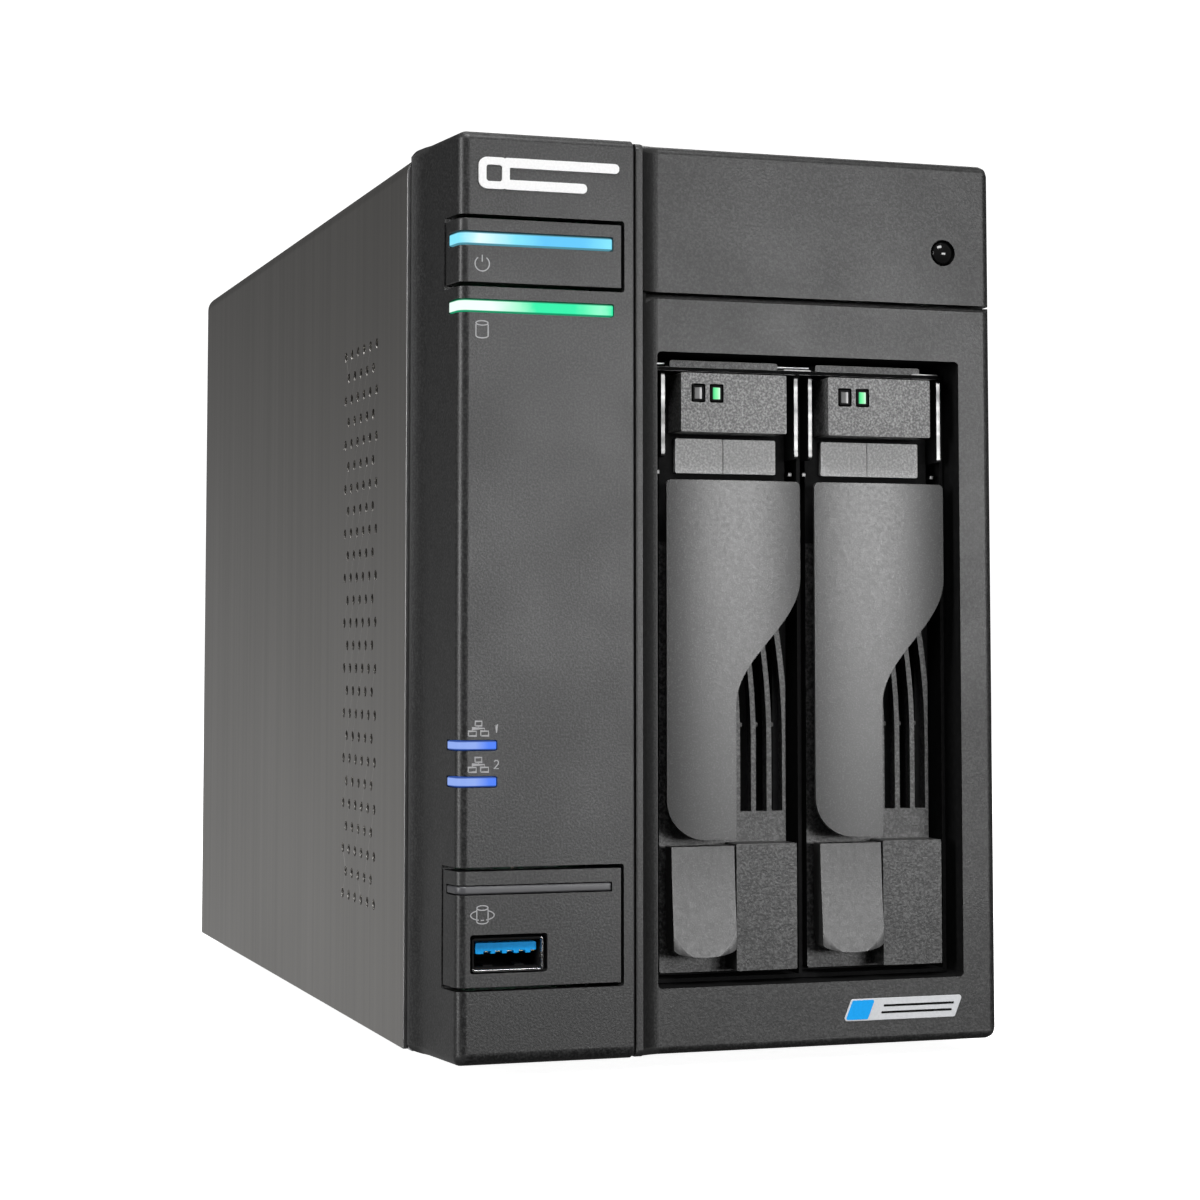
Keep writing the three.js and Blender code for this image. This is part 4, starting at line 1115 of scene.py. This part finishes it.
def build_tray_frame(side):
    """The tray's steel frame, in painted shade except its front lips and studs, which keep a steel finish.
    """
    x = tray_centre(side)
    low, high = box_mm(f"tray_frame_{side}")
    flange = FACE + 11.8
    rail = 1.4
    sheet = 0.7
    lip_bottom = 107.6
    stud_z = (104.7, 105.4)
    outline = [
        (flange, low.z), (high.y, low.z), (high.y, low.z + rail), (flange + 0.8, low.z + rail),
        (flange + 0.8, high.z - rail), (high.y, high.z - rail), (high.y, high.z), (flange, high.z),
    ]
    body = prism(f"tray_steel_{side}", outline, "X", low.x, high.x)
    hole = rectangle(x - 10.5, x + 10.5, 30, 100, 2)
    cut(body, prism("hole", hole, "Y", flange - 1, flange + 2))
    for x0 in (low.x, high.x - sheet):
        lip = rounded([
            (low.y, lip_bottom, 0.6), (flange + 0.5, lip_bottom, 0),
            (flange + 0.5, high.z, 0), (low.y, high.z, 0.6),
        ])
        fuse(body, prism("lip", lip, "X", x0, x0 + sheet))
        fuse(body, block("stud", x0, x0 + sheet, FACE + 8.6, flange + 0.5, *stud_z))
    soften(body, 0.1, 2)
    finish_piece(body, f"{side}_tray", ["shadow", "edge"], [f"tray_frame_{side}"], "zinc_steel")
    # Painted shade: all but the front lips and studs take the near-black shadow finish.
    for face in body.data.polygons:
        centre = face.center / MM
        stud = stud_z[0] - 0.1 < centre.z < stud_z[1] + 0.1 and centre.y < flange - 0.1
        if face.normal.y < -0.5 and (stud or centre.y < low.y + 2.2):
            face.material_index = 1


SLAT_BEND = 57.0
GRILLE = {
    "bottom": 43.8, "top": 92.0, "slots": 4, "first": 0.35, "pitch": 3.04, "width": 2.1, "right": 12.6,
}


def slat_shift(z):
    rise = max(z - SLAT_BEND, 0)
    return -0.0042 * rise * rise


def swept_edge(x, bottom, steps=18):
    """An upright edge that sweeps to the left above the bend."""
    heights = [bottom + (GRILLE["top"] - bottom) * k / steps for k in range(steps + 1)]
    return [(x + slat_shift(z), z) for z in heights]


def grille_slot(x, index):
    left = x + GRILLE["first"] + GRILLE["pitch"] * index
    return swept_edge(left, GRILLE["bottom"]) + swept_edge(left + GRILLE["width"], GRILLE["bottom"])[::-1]


def split_at(obj, z):
    """Divides the faces that cross this height, so each side of it can have its own finish."""
    mesh = bmesh.new()
    mesh.from_mesh(obj.data)
    parts = [*mesh.verts, *mesh.edges, *mesh.faces]
    bmesh.ops.bisect_plane(mesh, geom=parts, dist=1e-7, plane_co=(0, 0, z * MM), plane_no=(0, 0, 1))
    mesh.to_mesh(obj.data)
    mesh.free()


def build_tray_front(side):
    x = tray_centre(side)
    low, high = box_mm(f"tray_front_{side}")
    plate = FACE + 9.8
    back = high.y
    hinge_from = 92.5
    block_top = 38.4
    led_from = 112.0
    body = prism(f"tray_face_{side}", rectangle(low.x, high.x, low.z, high.z, 0.5), "Y", plate, back)
    slots = prisms("slots", [grille_slot(x, i) for i in range(GRILLE["slots"])], "Y", plate - 1, back + 1)
    outer = [(high.x + 1, GRILLE["top"]), (high.x + 1, SLAT_BEND)]
    beside = prism("beside", swept_edge(x + GRILLE["right"], SLAT_BEND) + outer, "Y", plate - 1, back + 1)
    cut(body, slots, beside)
    led_block = prism(
        "led_block", rectangle(x - 10.3, x + 10, led_from, high.z, 0.3), "Y", low.y, plate + 0.5,
    )
    lower = prism("lower", rectangle(x + 0.4, x + 12, 16, block_top, 0.25), "Y", low.y + 1, plate + 0.5)
    fuse(body, led_block, lower)
    for x0 in (x - 7.4, x + 6.6):
        eye = rounded([
            (PIVOT_Y - EYE, PIVOT_Z - EYE, EYE_ROUND), (plate + 0.5, PIVOT_Z - EYE, 0),
            (plate + 0.5, PIVOT_Z + EYE, 0), (PIVOT_Y - EYE, PIVOT_Z + EYE, EYE_ROUND),
        ])
        lug = prism("lug", eye, "X", x0, x0 + 1.6)
        cut(lug, prism("bore", circle(PIVOT_Y, PIVOT_Z, PIN_BORE), "X", x0 - 1, x0 + 3))
        fuse(body, lug)
    for name in ("status", "activity"):
        led_low, led_high = box_mm(f"{name}_led_{side}")
        frame_line = rectangle(
            led_low.x - 0.28, led_high.x + 0.28, led_low.z - 0.28, led_high.z + 0.28, 0.3,
        )
        cut(body, prism("led_window", frame_line, "Y", low.y - 1, low.y + 3.4))
    ribs = []
    for slot in range(GRILLE["slots"]):
        for z in (59.0, 74.0):
            rib_x = x + GRILLE["first"] + GRILLE["pitch"] * slot + slat_shift(z)
            ribs.append(rectangle(rib_x - 0.2, rib_x + GRILLE["width"] * 0.35, z, z + 0.8, 0.2, 2))
    fuse(body, prisms("ribs", ribs, "Y", plate + 0.9, back))
    soften(body, 0.16, 2)
    split_at(body, hinge_from)
    finish_piece(
        body, f"{side}_tray", ["tray", "shadow", "block"], [f"tray_front_{side}"], "textured_plastic",
    )
    for face in body.data.polygons:
        centre = face.center / MM
        # Painted shade: the plate's faces at and behind its surface, above and below the grille and left of
        # it, take the near-black shadow finish.
        beside_grille = centre.z > hinge_from or centre.z < block_top + 0.2 or centre.x < x
        if centre.y > plate - 0.3 and beside_grille:
            face.material_index = 1
        elif centre.z > led_from - 1:
            face.material_index = 2
        for name in ("status", "activity"):
            led_low, led_high = box_mm(f"{name}_led_{side}")
            near_x = led_low.x - 0.35 < centre.x < led_high.x + 0.35
            near_z = led_low.z - 0.35 < centre.z < led_high.z + 0.35
            if near_x and near_z:
                face.material_index = 1


LED_STOPS = [
    (0.0, (0.03, 0.42, 0.14)), (0.3, (0.11, 0.80, 0.30)), (0.7, (0.30, 0.86, 0.42)), (1.0, (0.7, 1, 0.8)),
]


def build_leds(side):
    """Each indicator is a lens in a thin black frame."""
    inset = 0.32
    for name in ("status", "activity"):
        low, high = box_mm(f"{name}_led_{side}")
        outside = rectangle(low.x, high.x, low.z, high.z, 0.3)
        surround = prism(f"{name}_surround_{side}", outside, "Y", low.y, high.y)
        opening = rectangle(low.x + inset, high.x - inset, low.z + inset, high.z - inset, 0.15)
        cut(surround, prism("opening", opening, "Y", low.y - 1, low.y + 1))
        finish_piece(surround, f"{side}_tray", "shadow", slot="glossy_black")
        lens = prism(f"{name}_lens_{side}", opening, "Y", low.y + 0.1, low.y + 1.2)
        soften(lens, 0.1, 2)
        span = (low.x + inset, high.x - inset)
        if name == "activity":
            glow, slot = lit(f"led_glow_{side}", LED_STOPS, span), "green_light"
        else:
            glow, slot = smoked_with_painted_highlight(f"led_dark_{side}", span), "unlit_light"
        finish_piece(lens, f"{side}_tray", glow, [f"{name}_led_{side}"], slot)


def build_hinge_cover(side):
    low, high = box_mm(f"hinge_cover_{side}")
    middle = (low.x + high.x) / 2
    cover = prism(f"hinge_plate_{side}", rectangle(low.x, high.x, low.z, high.z, 0.3), "Y", low.y, high.y)
    seam = rectangle(middle - 0.6, middle - 0.45, low.z - 1, high.z + 1)
    cut(cover, prism("seam", seam, "Y", low.y - 1, low.y + 0.15))
    soften(cover, 0.12, 2)
    finish_piece(cover, f"{side}_tray", "hinge", [f"hinge_cover_{side}"], "light_grey")


CROWN = 1.05


def crowned(name, x0, x1, y_edge, thick, z0, z1, crown, steps=48):
    """A slab whose front bulges by crown between its side edges."""
    points = []
    for k in range(steps + 1):
        t = 2 * k / steps - 1
        points.append((x0 + (x1 - x0) * k / steps, y_edge - crown * (1 - t * t)))
    points += [(x1, y_edge + thick), (x0, y_edge + thick)]
    return prism(name, points, "Z", z0, z1)


def build_lever(side):
    x = tray_centre(side)
    low, high = box_mm(f"lever_{side}")
    narrow = x + 0.04
    sweep = bezier((narrow, 63), (narrow, 72), (high.x, 77.5), (high.x, 86), 24)
    outline = rounded([
        (low.x, low.z, 7), (narrow, low.z, 0.8), *sweep, (high.x, 103.4, 0.9), (low.x, 103.4, 0.9),
    ], 12)
    blade = prism(f"lever_blade_{side}", outline, "Y", low.y - 1, low.y + 3)
    common(
        blade,
        crowned("crown", low.x - 0.5, high.x + 0.5, low.y + CROWN, 1.6 - CROWN, low.z - 1, 105, CROWN),
    )
    soften(blade, 0.28, 3)
    rear = low.y + 1.45
    for x0 in (x - 10.6, x + 9.2):
        eye = rounded([
            (rear, PIVOT_Z - 2.0, 0), (PIVOT_Y + EYE, PIVOT_Z - 2.0, EYE_ROUND),
            (PIVOT_Y + EYE, PIVOT_Z + EYE, EYE_ROUND), (rear, PIVOT_Z + EYE, 0),
        ])
        ear = prism("ear", eye, "X", x0, x0 + 1.6)
        cut(ear, prism("bore", circle(PIVOT_Y, PIVOT_Z, PIN_BORE), "X", x0 - 1, x0 + 3))
        fuse(blade, ear)
    ribs = [rectangle(a, a + 1, 47, 96, 0.3, 2) for a in (x - 10.2, x - 5.6, x - 1.2)]
    fuse(blade, prisms("ribs", ribs, "Y", rear, rear + 1.6))
    catch = rounded([(rear, 41.2, 0), (FACE + 7.6, 41.2, 0.3), (FACE + 7.6, 42.2, 0.3), (rear, 43, 0)])
    fuse(blade, prism("catch", catch, "X", x - 8, x - 3))
    finish_piece(blade, f"{side}_handle", "lever", [f"lever_{side}"], "satin_grey")


def build_lever_pin(side):
    low, high = box_mm(f"lever_pin_{side}")
    centre = (low + high) / 2
    radius = 0.9
    ends = [(0, low.x), (radius - 0.2, low.x), (radius, low.x + 0.2)]
    profile = ends + [(radius, high.x - 0.2), (radius - 0.2, high.x), (0, high.x)]
    pin = lathe(f"hinge_pin_{side}", profile, (0, centre.y, centre.z), "X", 24)
    finish_piece(pin, f"{side}_tray", "bright", [f"lever_pin_{side}"], "zinc_steel")


def build_release(side):
    """The paddle leans out towards its convex lower end."""
    low, high = box_mm(f"release_button_{side}")
    middle = (low.x + high.x) / 2
    half = (high.x - low.x) / 2
    top = high.z
    end_rise = 1.5
    lower_edge = arc(middle, low.z + end_rise, half, end_rise, 180, 360, 16)
    outline = [(low.x, top), *lower_edge, (high.x, top)]
    paddle = prism(f"release_paddle_{side}", outline, "Y", low.y - 2, high.y)
    lean = bezier(
        (low.y + 1.75, top + 0.1), (low.y + 1.5, 31), (low.y + 0.9, 25), (low.y + 0.02, low.z - 0.5),
        12,
    )
    profile = [p[:2] for p in lean] + [(low.y + 3.5, low.z - 0.5), (high.y, 23), (high.y, top + 0.1)]
    common(paddle, prism("lean", profile, "X", low.x - 1, high.x + 1))
    common(paddle, crowned("crown", low.x - 0.3, high.x + 0.3, low.y + 0.7, 9, low.z - 1, top + 1, 0.7))
    soften(paddle, 0.28, 3)
    finish_piece(paddle, f"{side}_release", "release", [f"release_button_{side}"], "satin_grey")


def build_drive(side):
    """A 3.5 inch drive: cast base, recessed lid with its screws, and the board on the left."""
    low, high = box_mm(f"hard_drive_{side}")
    middle_y = (low.y + high.y) / 2
    base = prism(f"drive_casting_{side}", rectangle(low.y, high.y, low.z, high.z, 2), "X", low.x, high.x)
    lid_edge = rectangle(low.y + 4, high.y - 10, low.z + 4, high.z - 4, 6)
    cut(base, prism("lid_recess", lid_edge, "X", high.x - 1.2, high.x + 1))
    board_edge = rectangle(low.y + 40, high.y - 12, low.z + 8, high.z - 10, 1)
    cut(base, prism("board_recess", board_edge, "X", low.x - 1, low.x + 1.2))
    screw_holes = [
        circle(y, z, 1.5, 16)
        for y in (low.y + 28, middle_y, high.y - 30)
        for z in (low.z + 6, high.z - 6)
    ]
    cut(base, prisms("screw_holes", screw_holes, "X", low.x - 1, low.x + 2))
    soften(base, 0.3, 2)
    finish_piece(base, f"{side}_tray", ["cast", "shadow"], [f"hard_drive_{side}"], "cast_aluminium")
    # Painted shade: the casting's front face takes the near-black shadow finish.
    for face in base.data.polygons:
        if face.center.y / MM < low.y + 0.5:
            face.material_index = 1
    lid_plan = rectangle(low.y + 4.4, high.y - 10.4, low.z + 4.4, high.z - 4.4, 5.6)
    lid = prism(f"drive_lid_{side}", lid_plan, "X", high.x - 1.3, high.x - 0.5)
    ring = circle(low.y + 62, (low.z + high.z) / 2, 38, 64)
    boss = prism("boss", ring, "X", high.x - 0.6, high.x - 0.05)
    fuse(lid, boss)
    soften(lid, 0.25, 2)
    finish_piece(lid, f"{side}_tray", "zinc", slot="zinc_steel")
    card_plan = rectangle(low.y + 41, high.y - 13, low.z + 9, high.z - 11, 1)
    card = prism(f"drive_board_{side}", card_plan, "X", low.x + 0.2, low.x + 1.1)
    soften(card, 0.1, 1)
    finish_piece(card, f"{side}_tray", "circuit", slot="circuit_board")


def build_trays():
    for side in SIDES:
        build_tray_frame(side)
        build_tray_front(side)
        build_leds(side)
        build_hinge_cover(side)
        build_lever(side)
        build_lever_pin(side)
        build_release(side)
        build_drive(side)


# ---- Drive cage ---------------------------------------------------------------------------
def build_cage():
    """Sheet-steel cage in painted shade: it takes the near-black shadow finish, except the front edge of
    its top sheet, which is bare, and its tabs, which are grey.
    """
    low, high = box_mm("drive_cage")
    top = 124.1
    wall = 0.7
    cage = block("cage_sheet", low.x, high.x, low.y, high.y, low.z, top)
    divider = (tray_centre("left") + tray_centre("right")) / 2
    for x0, x1 in ((low.x + wall, divider - wall / 2), (divider + wall / 2, high.x - wall)):
        cut(cage, block("bay", x0, x1, low.y - 1, high.y + 1, low.z + wall, top - wall))
    folds = [rectangle(x - 2.8, x + 2.8, top - 0.8, top + 0.25, 0.4, 3) for x in (divider, high.x - 3.5)]
    fuse(cage, prisms("folds", folds, "Y", low.y + 0.1, low.y + 1.5))
    tabs = []
    for side in SIDES:
        x = tray_centre(side)
        tabs.append(rectangle(x - 10.5, x + 10.5, top - 0.2, high.z, 0.4, 3))
    fuse(cage, prisms("tabs", tabs, "Y", low.y + 0.6, low.y + 3.6))
    soften(cage, 0.2, 2)
    finish_piece(cage, "chassis", ["shadow", "edge", "tray"], ["drive_cage"], "zinc_steel")
    # Painted shade: all but the top sheet's front edge and the tabs take the near-black shadow finish.
    for face in cage.data.polygons:
        centre = face.center / MM
        if centre.y < low.y + 0.3 and centre.z > top - wall - 0.2 and face.normal.y < -0.8:
            face.material_index = 1
        elif centre.z > top + 0.05 and centre.y > low.y + 0.3 and centre.y < low.y + 4:
            face.material_index = 2


# ---- Rear ---------------------------------------------------------------------------------
def build_rear_panel():
    low, high = box_mm("rear_panel")
    x, top = high.x, high.z
    outline = rounded([(-x, low.z, 0.5), (x, low.z, 0.5), (x, top, 3), (-x, top, 3)])
    panel = prism("rear_sheet", outline, "Y", low.y, high.y)
    holes = []
    for node in ("rear_lan_port_1", "rear_lan_port_2", "rear_usb_ports", "hdmi_port", "dc_inlet"):
        port_low, port_high = box_mm(node)
        gap = 0.3
        holes.append(rectangle(
            port_low.x - gap, port_high.x + gap, port_low.z - gap, port_high.z + gap, 0.4, 2,
        ))
    for side in SIDES:
        centre = centre_mm(f"thumb_screw_{side}")
        holes.append(circle(centre.x, centre.z, 2))
    reset = centre_mm("reset_button")
    holes.append(circle(reset.x, reset.z, 1.1))
    fan = centre_mm("fan_frame")
    for radius in (7.5, 13.5, 19.5, 25.5, 31):
        for quarter in range(4):
            margin = math.degrees(1.6 / radius)
            start, end = 90 * quarter + margin, 90 * quarter + 90 - margin
            outer = arc(fan.x, fan.z, radius + 2, radius + 2, start, end, 14)
            inner = arc(fan.x, fan.z, radius - 2, radius - 2, end, start, 14)
            holes.append(outer + inner)
    cut(panel, prisms("holes", holes, "Y", low.y - 1, high.y + 1))
    soften(panel, 0.12, 2)
    finish_piece(panel, "chassis", "painted", ["rear_panel"], "zinc_steel")


def build_fan_rotor():
    low, high = box_mm("fan_rotor")
    centre = centre_mm("fan_frame")
    hub_radius, tip, blades = 15, 31.3, 7
    rear = high.y - 2.4
    profile = [
        (0, low.y), (hub_radius - 1.5, low.y), (hub_radius, low.y + 1.5), (hub_radius, rear), (0, rear),
    ]
    rotor = lathe("rotor", profile, (centre.x, 0, centre.z), "Y", 48)
    for i in range(blades):
        bm = bmesh.new()
        rows = []
        for r in (hub_radius - 1, 20, 25.5, tip):
            twist = math.radians(44 - 12 * (r - hub_radius) / (tip - hub_radius))
            chord = 8.6 * (0.85 + 0.25 * (r - hub_radius) / (tip - hub_radius))
            row = []
            for thickness in (-0.6, 0.6):
                for s in (-1, -0.35, 0.35, 1):
                    bow = 0.9 * (1 - s * s)
                    along = s * chord
                    offset_y = along * math.sin(twist) + (thickness + bow) * math.cos(twist)
                    angle = 2 * math.pi * i / blades + (along * math.cos(twist)) / r
                    x = centre.x + r * math.cos(angle)
                    z = centre.z + r * math.sin(angle)
                    row.append(bm.verts.new(Vector((x, (low.y + rear) / 2 + offset_y, z)) * MM))
            rows.append(row[:4] + row[4:][::-1])
        count = len(rows[0])
        for inner, outer in zip(rows, rows[1:]):
            for k in range(count):
                j = (k + 1) % count
                bm.faces.new((inner[k], inner[j], outer[j], outer[k]))
        bm.faces.new(rows[0])
        bm.faces.new(rows[-1])
        fuse(rotor, new_object("blade", bm))
    finish_piece(rotor, "fan_wheel", "dark", ["fan_rotor"], "black_plastic")


def build_thumb_screws():
    for side in SIDES:
        low, high = box_mm(f"thumb_screw_{side}")
        centre = (low + high) / 2
        head = box_mm("rear_panel")[1].y + SHEET
        teeth = 28
        knurl = []
        for k in range(2 * teeth):
            radius = 3.95 if k % 2 else 3.6
            t = math.pi * k / teeth
            knurl.append((centre.x + radius * math.cos(t), centre.z + radius * math.sin(t)))
        screw = prism(f"knurled_screw_{side}", knurl, "Y", head, high.y)
        fuse(screw, prism("shank", circle(centre.x, centre.z, 1.6), "Y", low.y, head + 0.5))
        for across, up in ((2.2, 0.4), (0.4, 2.2)):
            slot = rectangle(centre.x - across, centre.x + across, centre.z - up, centre.z + up)
            cut(screw, prism("slot", slot, "Y", high.y - 1, high.y + 1))
        soften(screw, 0.12, 1, 50)
        finish_piece(screw, "chassis", "zinc", [f"thumb_screw_{side}"], "zinc_steel")


def build_lan_contacts():
    """Eight sprung wires in each network socket."""
    for number in (1, 2):
        low, high = box_mm(f"rear_lan_port_{number}")
        middle = (low.z + high.z) / 2
        wires = []
        for i in range(8):
            z = middle + (i - 3.5) * 1.02
            wires.append(rectangle(low.x + 3.2, low.x + 3.5, z - 0.2, z + 0.2))
        pins = prisms(f"lan_wires_{number}", wires, "Y", high.y - 9, high.y - 2)
        finish_piece(pins, "chassis", "gold", slot="zinc_steel")


DRESSED = {
    "zinc": ("base_plate", "front_plate"),
    "bright": ("rear_lan_port_1", "rear_lan_port_2", "rear_usb_ports", "hdmi_port"),
    "dark": ("dc_inlet", "reset_button", "fan_frame", "sata_connector_left", "sata_connector_right"),
    "circuit": ("front_io_board", "backplane", "motherboard", "memory_module"),
    "cast": ("heatsink",),
    "rubber": ("foot_front_left", "foot_front_right", "foot_rear_left", "foot_rear_right"),
}


def dress_frame():
    for finish, nodes in DRESSED.items():
        for node in nodes:
            dress(node, MATERIALS[finish])


# ---- Camera, stage and light --------------------------------------------------------------
def build_camera():
    """A long lens at the height of the case's middle, left of its front, looking slightly up."""
    data = bpy.data.cameras.new("camera")
    data.sensor_width = 36
    data.lens = 80.83
    data.shift_x = -0.003
    data.shift_y = -0.117
    data.clip_start = 0.05
    data.clip_end = 20
    camera = bpy.data.objects.new("camera", data)
    camera.location = Vector((-171.23, FACE - 448.86, 73.12)) * MM
    yaw, pitch = math.radians(18.229), math.radians(4.025)
    aim = Vector((math.sin(yaw) * math.cos(pitch), math.cos(yaw) * math.cos(pitch), math.sin(pitch)))
    camera.rotation_euler = aim.to_track_quat("-Z", "Y").to_euler()
    bpy.context.scene.collection.objects.link(camera)
    bpy.context.scene.camera = camera


def build_stage():
    """A pale floor that curves up into a wall far behind the object."""
    reach, rise, bend = 5.0, 4.0, 0.9
    profile = [(-reach, 0.0), (reach - bend, 0.0)]
    for k in range(1, 13):
        t = math.radians(90 * k / 12)
        profile.append((reach - bend + bend * math.sin(t), bend - bend * math.cos(t)))
    profile.append((reach, rise))
    bm = bmesh.new()
    rows = [[bm.verts.new((x, y, z - 0.0002)) for y, z in profile] for x in (-reach, reach)]
    for i in range(len(profile) - 1):
        bm.faces.new((rows[0][i], rows[1][i], rows[1][i + 1], rows[0][i + 1]))
    floor = new_object("floor", bm)
    shader = Shader("pale_floor")
    paper = shader.noise(30, 3)
    tone = shader.mix(shader.between(paper, 0, 1, 0.3, 0.7), grey(0.78), grey(0.80))
    away = shader.nodes.new("ShaderNodeVectorMath")
    away.operation = "LENGTH"
    shader.links.new(shader.coordinates, away.inputs[0])
    glow = shader.between(away.outputs["Value"], 0.92, 1.02, 0.15, 0.9)
    shader.set(Emission_Color=(1, 1, 1, 1), Specular_IOR_Level=0.2)
    roughness = shader.between(paper, 0.6, 0.7)
    floor.data.materials.append(shader.drive(Base_Color=tone, Emission_Strength=glow, Roughness=roughness))
    floor.data.shade_smooth()
    floor.visible_glossy = False
    floor.visible_diffuse = False


def add_softbox(name, place, target, size, power):
    data = bpy.data.lights.new(name, "AREA")
    data.shape = "RECTANGLE"
    data.size, data.size_y = size
    data.energy = power
    light = bpy.data.objects.new(name, data)
    light.location = place
    light.rotation_euler = (Vector(target) - Vector(place)).to_track_quat("-Z", "Y").to_euler()
    bpy.context.scene.collection.objects.link(light)


def lit_band(shader_tree, direction, low, high):
    """How far a direction of the surroundings points a given way: 0 below low and 1 above high."""
    nodes, links = shader_tree.nodes, shader_tree.links
    coordinates = nodes.new("ShaderNodeTexCoord")
    dot = nodes.new("ShaderNodeVectorMath")
    dot.operation = "DOT_PRODUCT"
    dot.inputs[1].default_value = Vector(direction).normalized()
    links.new(coordinates.outputs["Generated"], dot.inputs[0])
    band = nodes.new("ShaderNodeMapRange")
    band.interpolation_type = "SMOOTHSTEP"
    band.inputs["From Min"].default_value = low
    band.inputs["From Max"].default_value = high
    links.new(dot.outputs["Value"], band.inputs["Value"])
    return band.outputs["Result"]


def build_world():
    """Dim surroundings, with a pale table's reflection behind on the left, below the horizon."""
    world = bpy.data.worlds.new("studio")
    world.use_nodes = True
    tree = world.node_tree
    background = tree.nodes["Background"]
    background.inputs["Color"].default_value = (1, 1, 1, 1)
    behind = lit_band(tree, (-0.35, 0.93, 0), 0.60, 0.97)
    below = lit_band(tree, (0, 0, -1), -0.16, 0.12)
    product = tree.nodes.new("ShaderNodeMath")
    product.operation = "MULTIPLY"
    tree.links.new(behind, product.inputs[0])
    tree.links.new(below, product.inputs[1])
    strength = tree.nodes.new("ShaderNodeMapRange")
    strength.inputs["To Min"].default_value = WORLD["dim"]
    strength.inputs["To Max"].default_value = WORLD["bright"]
    tree.links.new(product.outputs["Value"], strength.inputs["Value"])
    tree.links.new(strength.outputs["Result"], background.inputs["Strength"])
    bpy.context.scene.world = world


WORLD = {"dim": 0.09, "bright": 0.47}
KEY = {"place": (0.46, -1.27, 0.17), "size": (0.56, 0.21), "power": 7.1}


def build_light():
    build_world()
    bpy.context.scene.view_settings.view_transform = "Standard"
    add_softbox("key", KEY["place"], (0.0, -0.11, 0.09), KEY["size"], KEY["power"])
    add_softbox("front_top", (-0.1, -1.0, 1.35), (0.0, -0.1, 0.08), (0.8, 0.6), 22)
    add_softbox("left", (-1.35, -0.36, 0.22), (-0.05, -0.11, 0.08), (0.35, 0.8), 13)
    add_softbox("overhead", (0.1, 0.35, 1.7), (0, 0, 0.1), (1.0, 1.0), 6)
    add_softbox("rear_right", (1.0, 1.2, 1.1), (0, 0, 0.08), (0.9, 0.7), 9)


build_camera()
build_stage()
build_light()
build_cover()
build_column()
build_lights()
build_buttons()
build_signs()
build_emblem()
build_front_usb()
build_bay_frame()
build_top_panel()
build_lens()
build_badge()
build_trays()
build_cage()
build_rear_panel()
build_fan_rotor()
build_thumb_screws()
build_lan_contacts()
dress_frame()
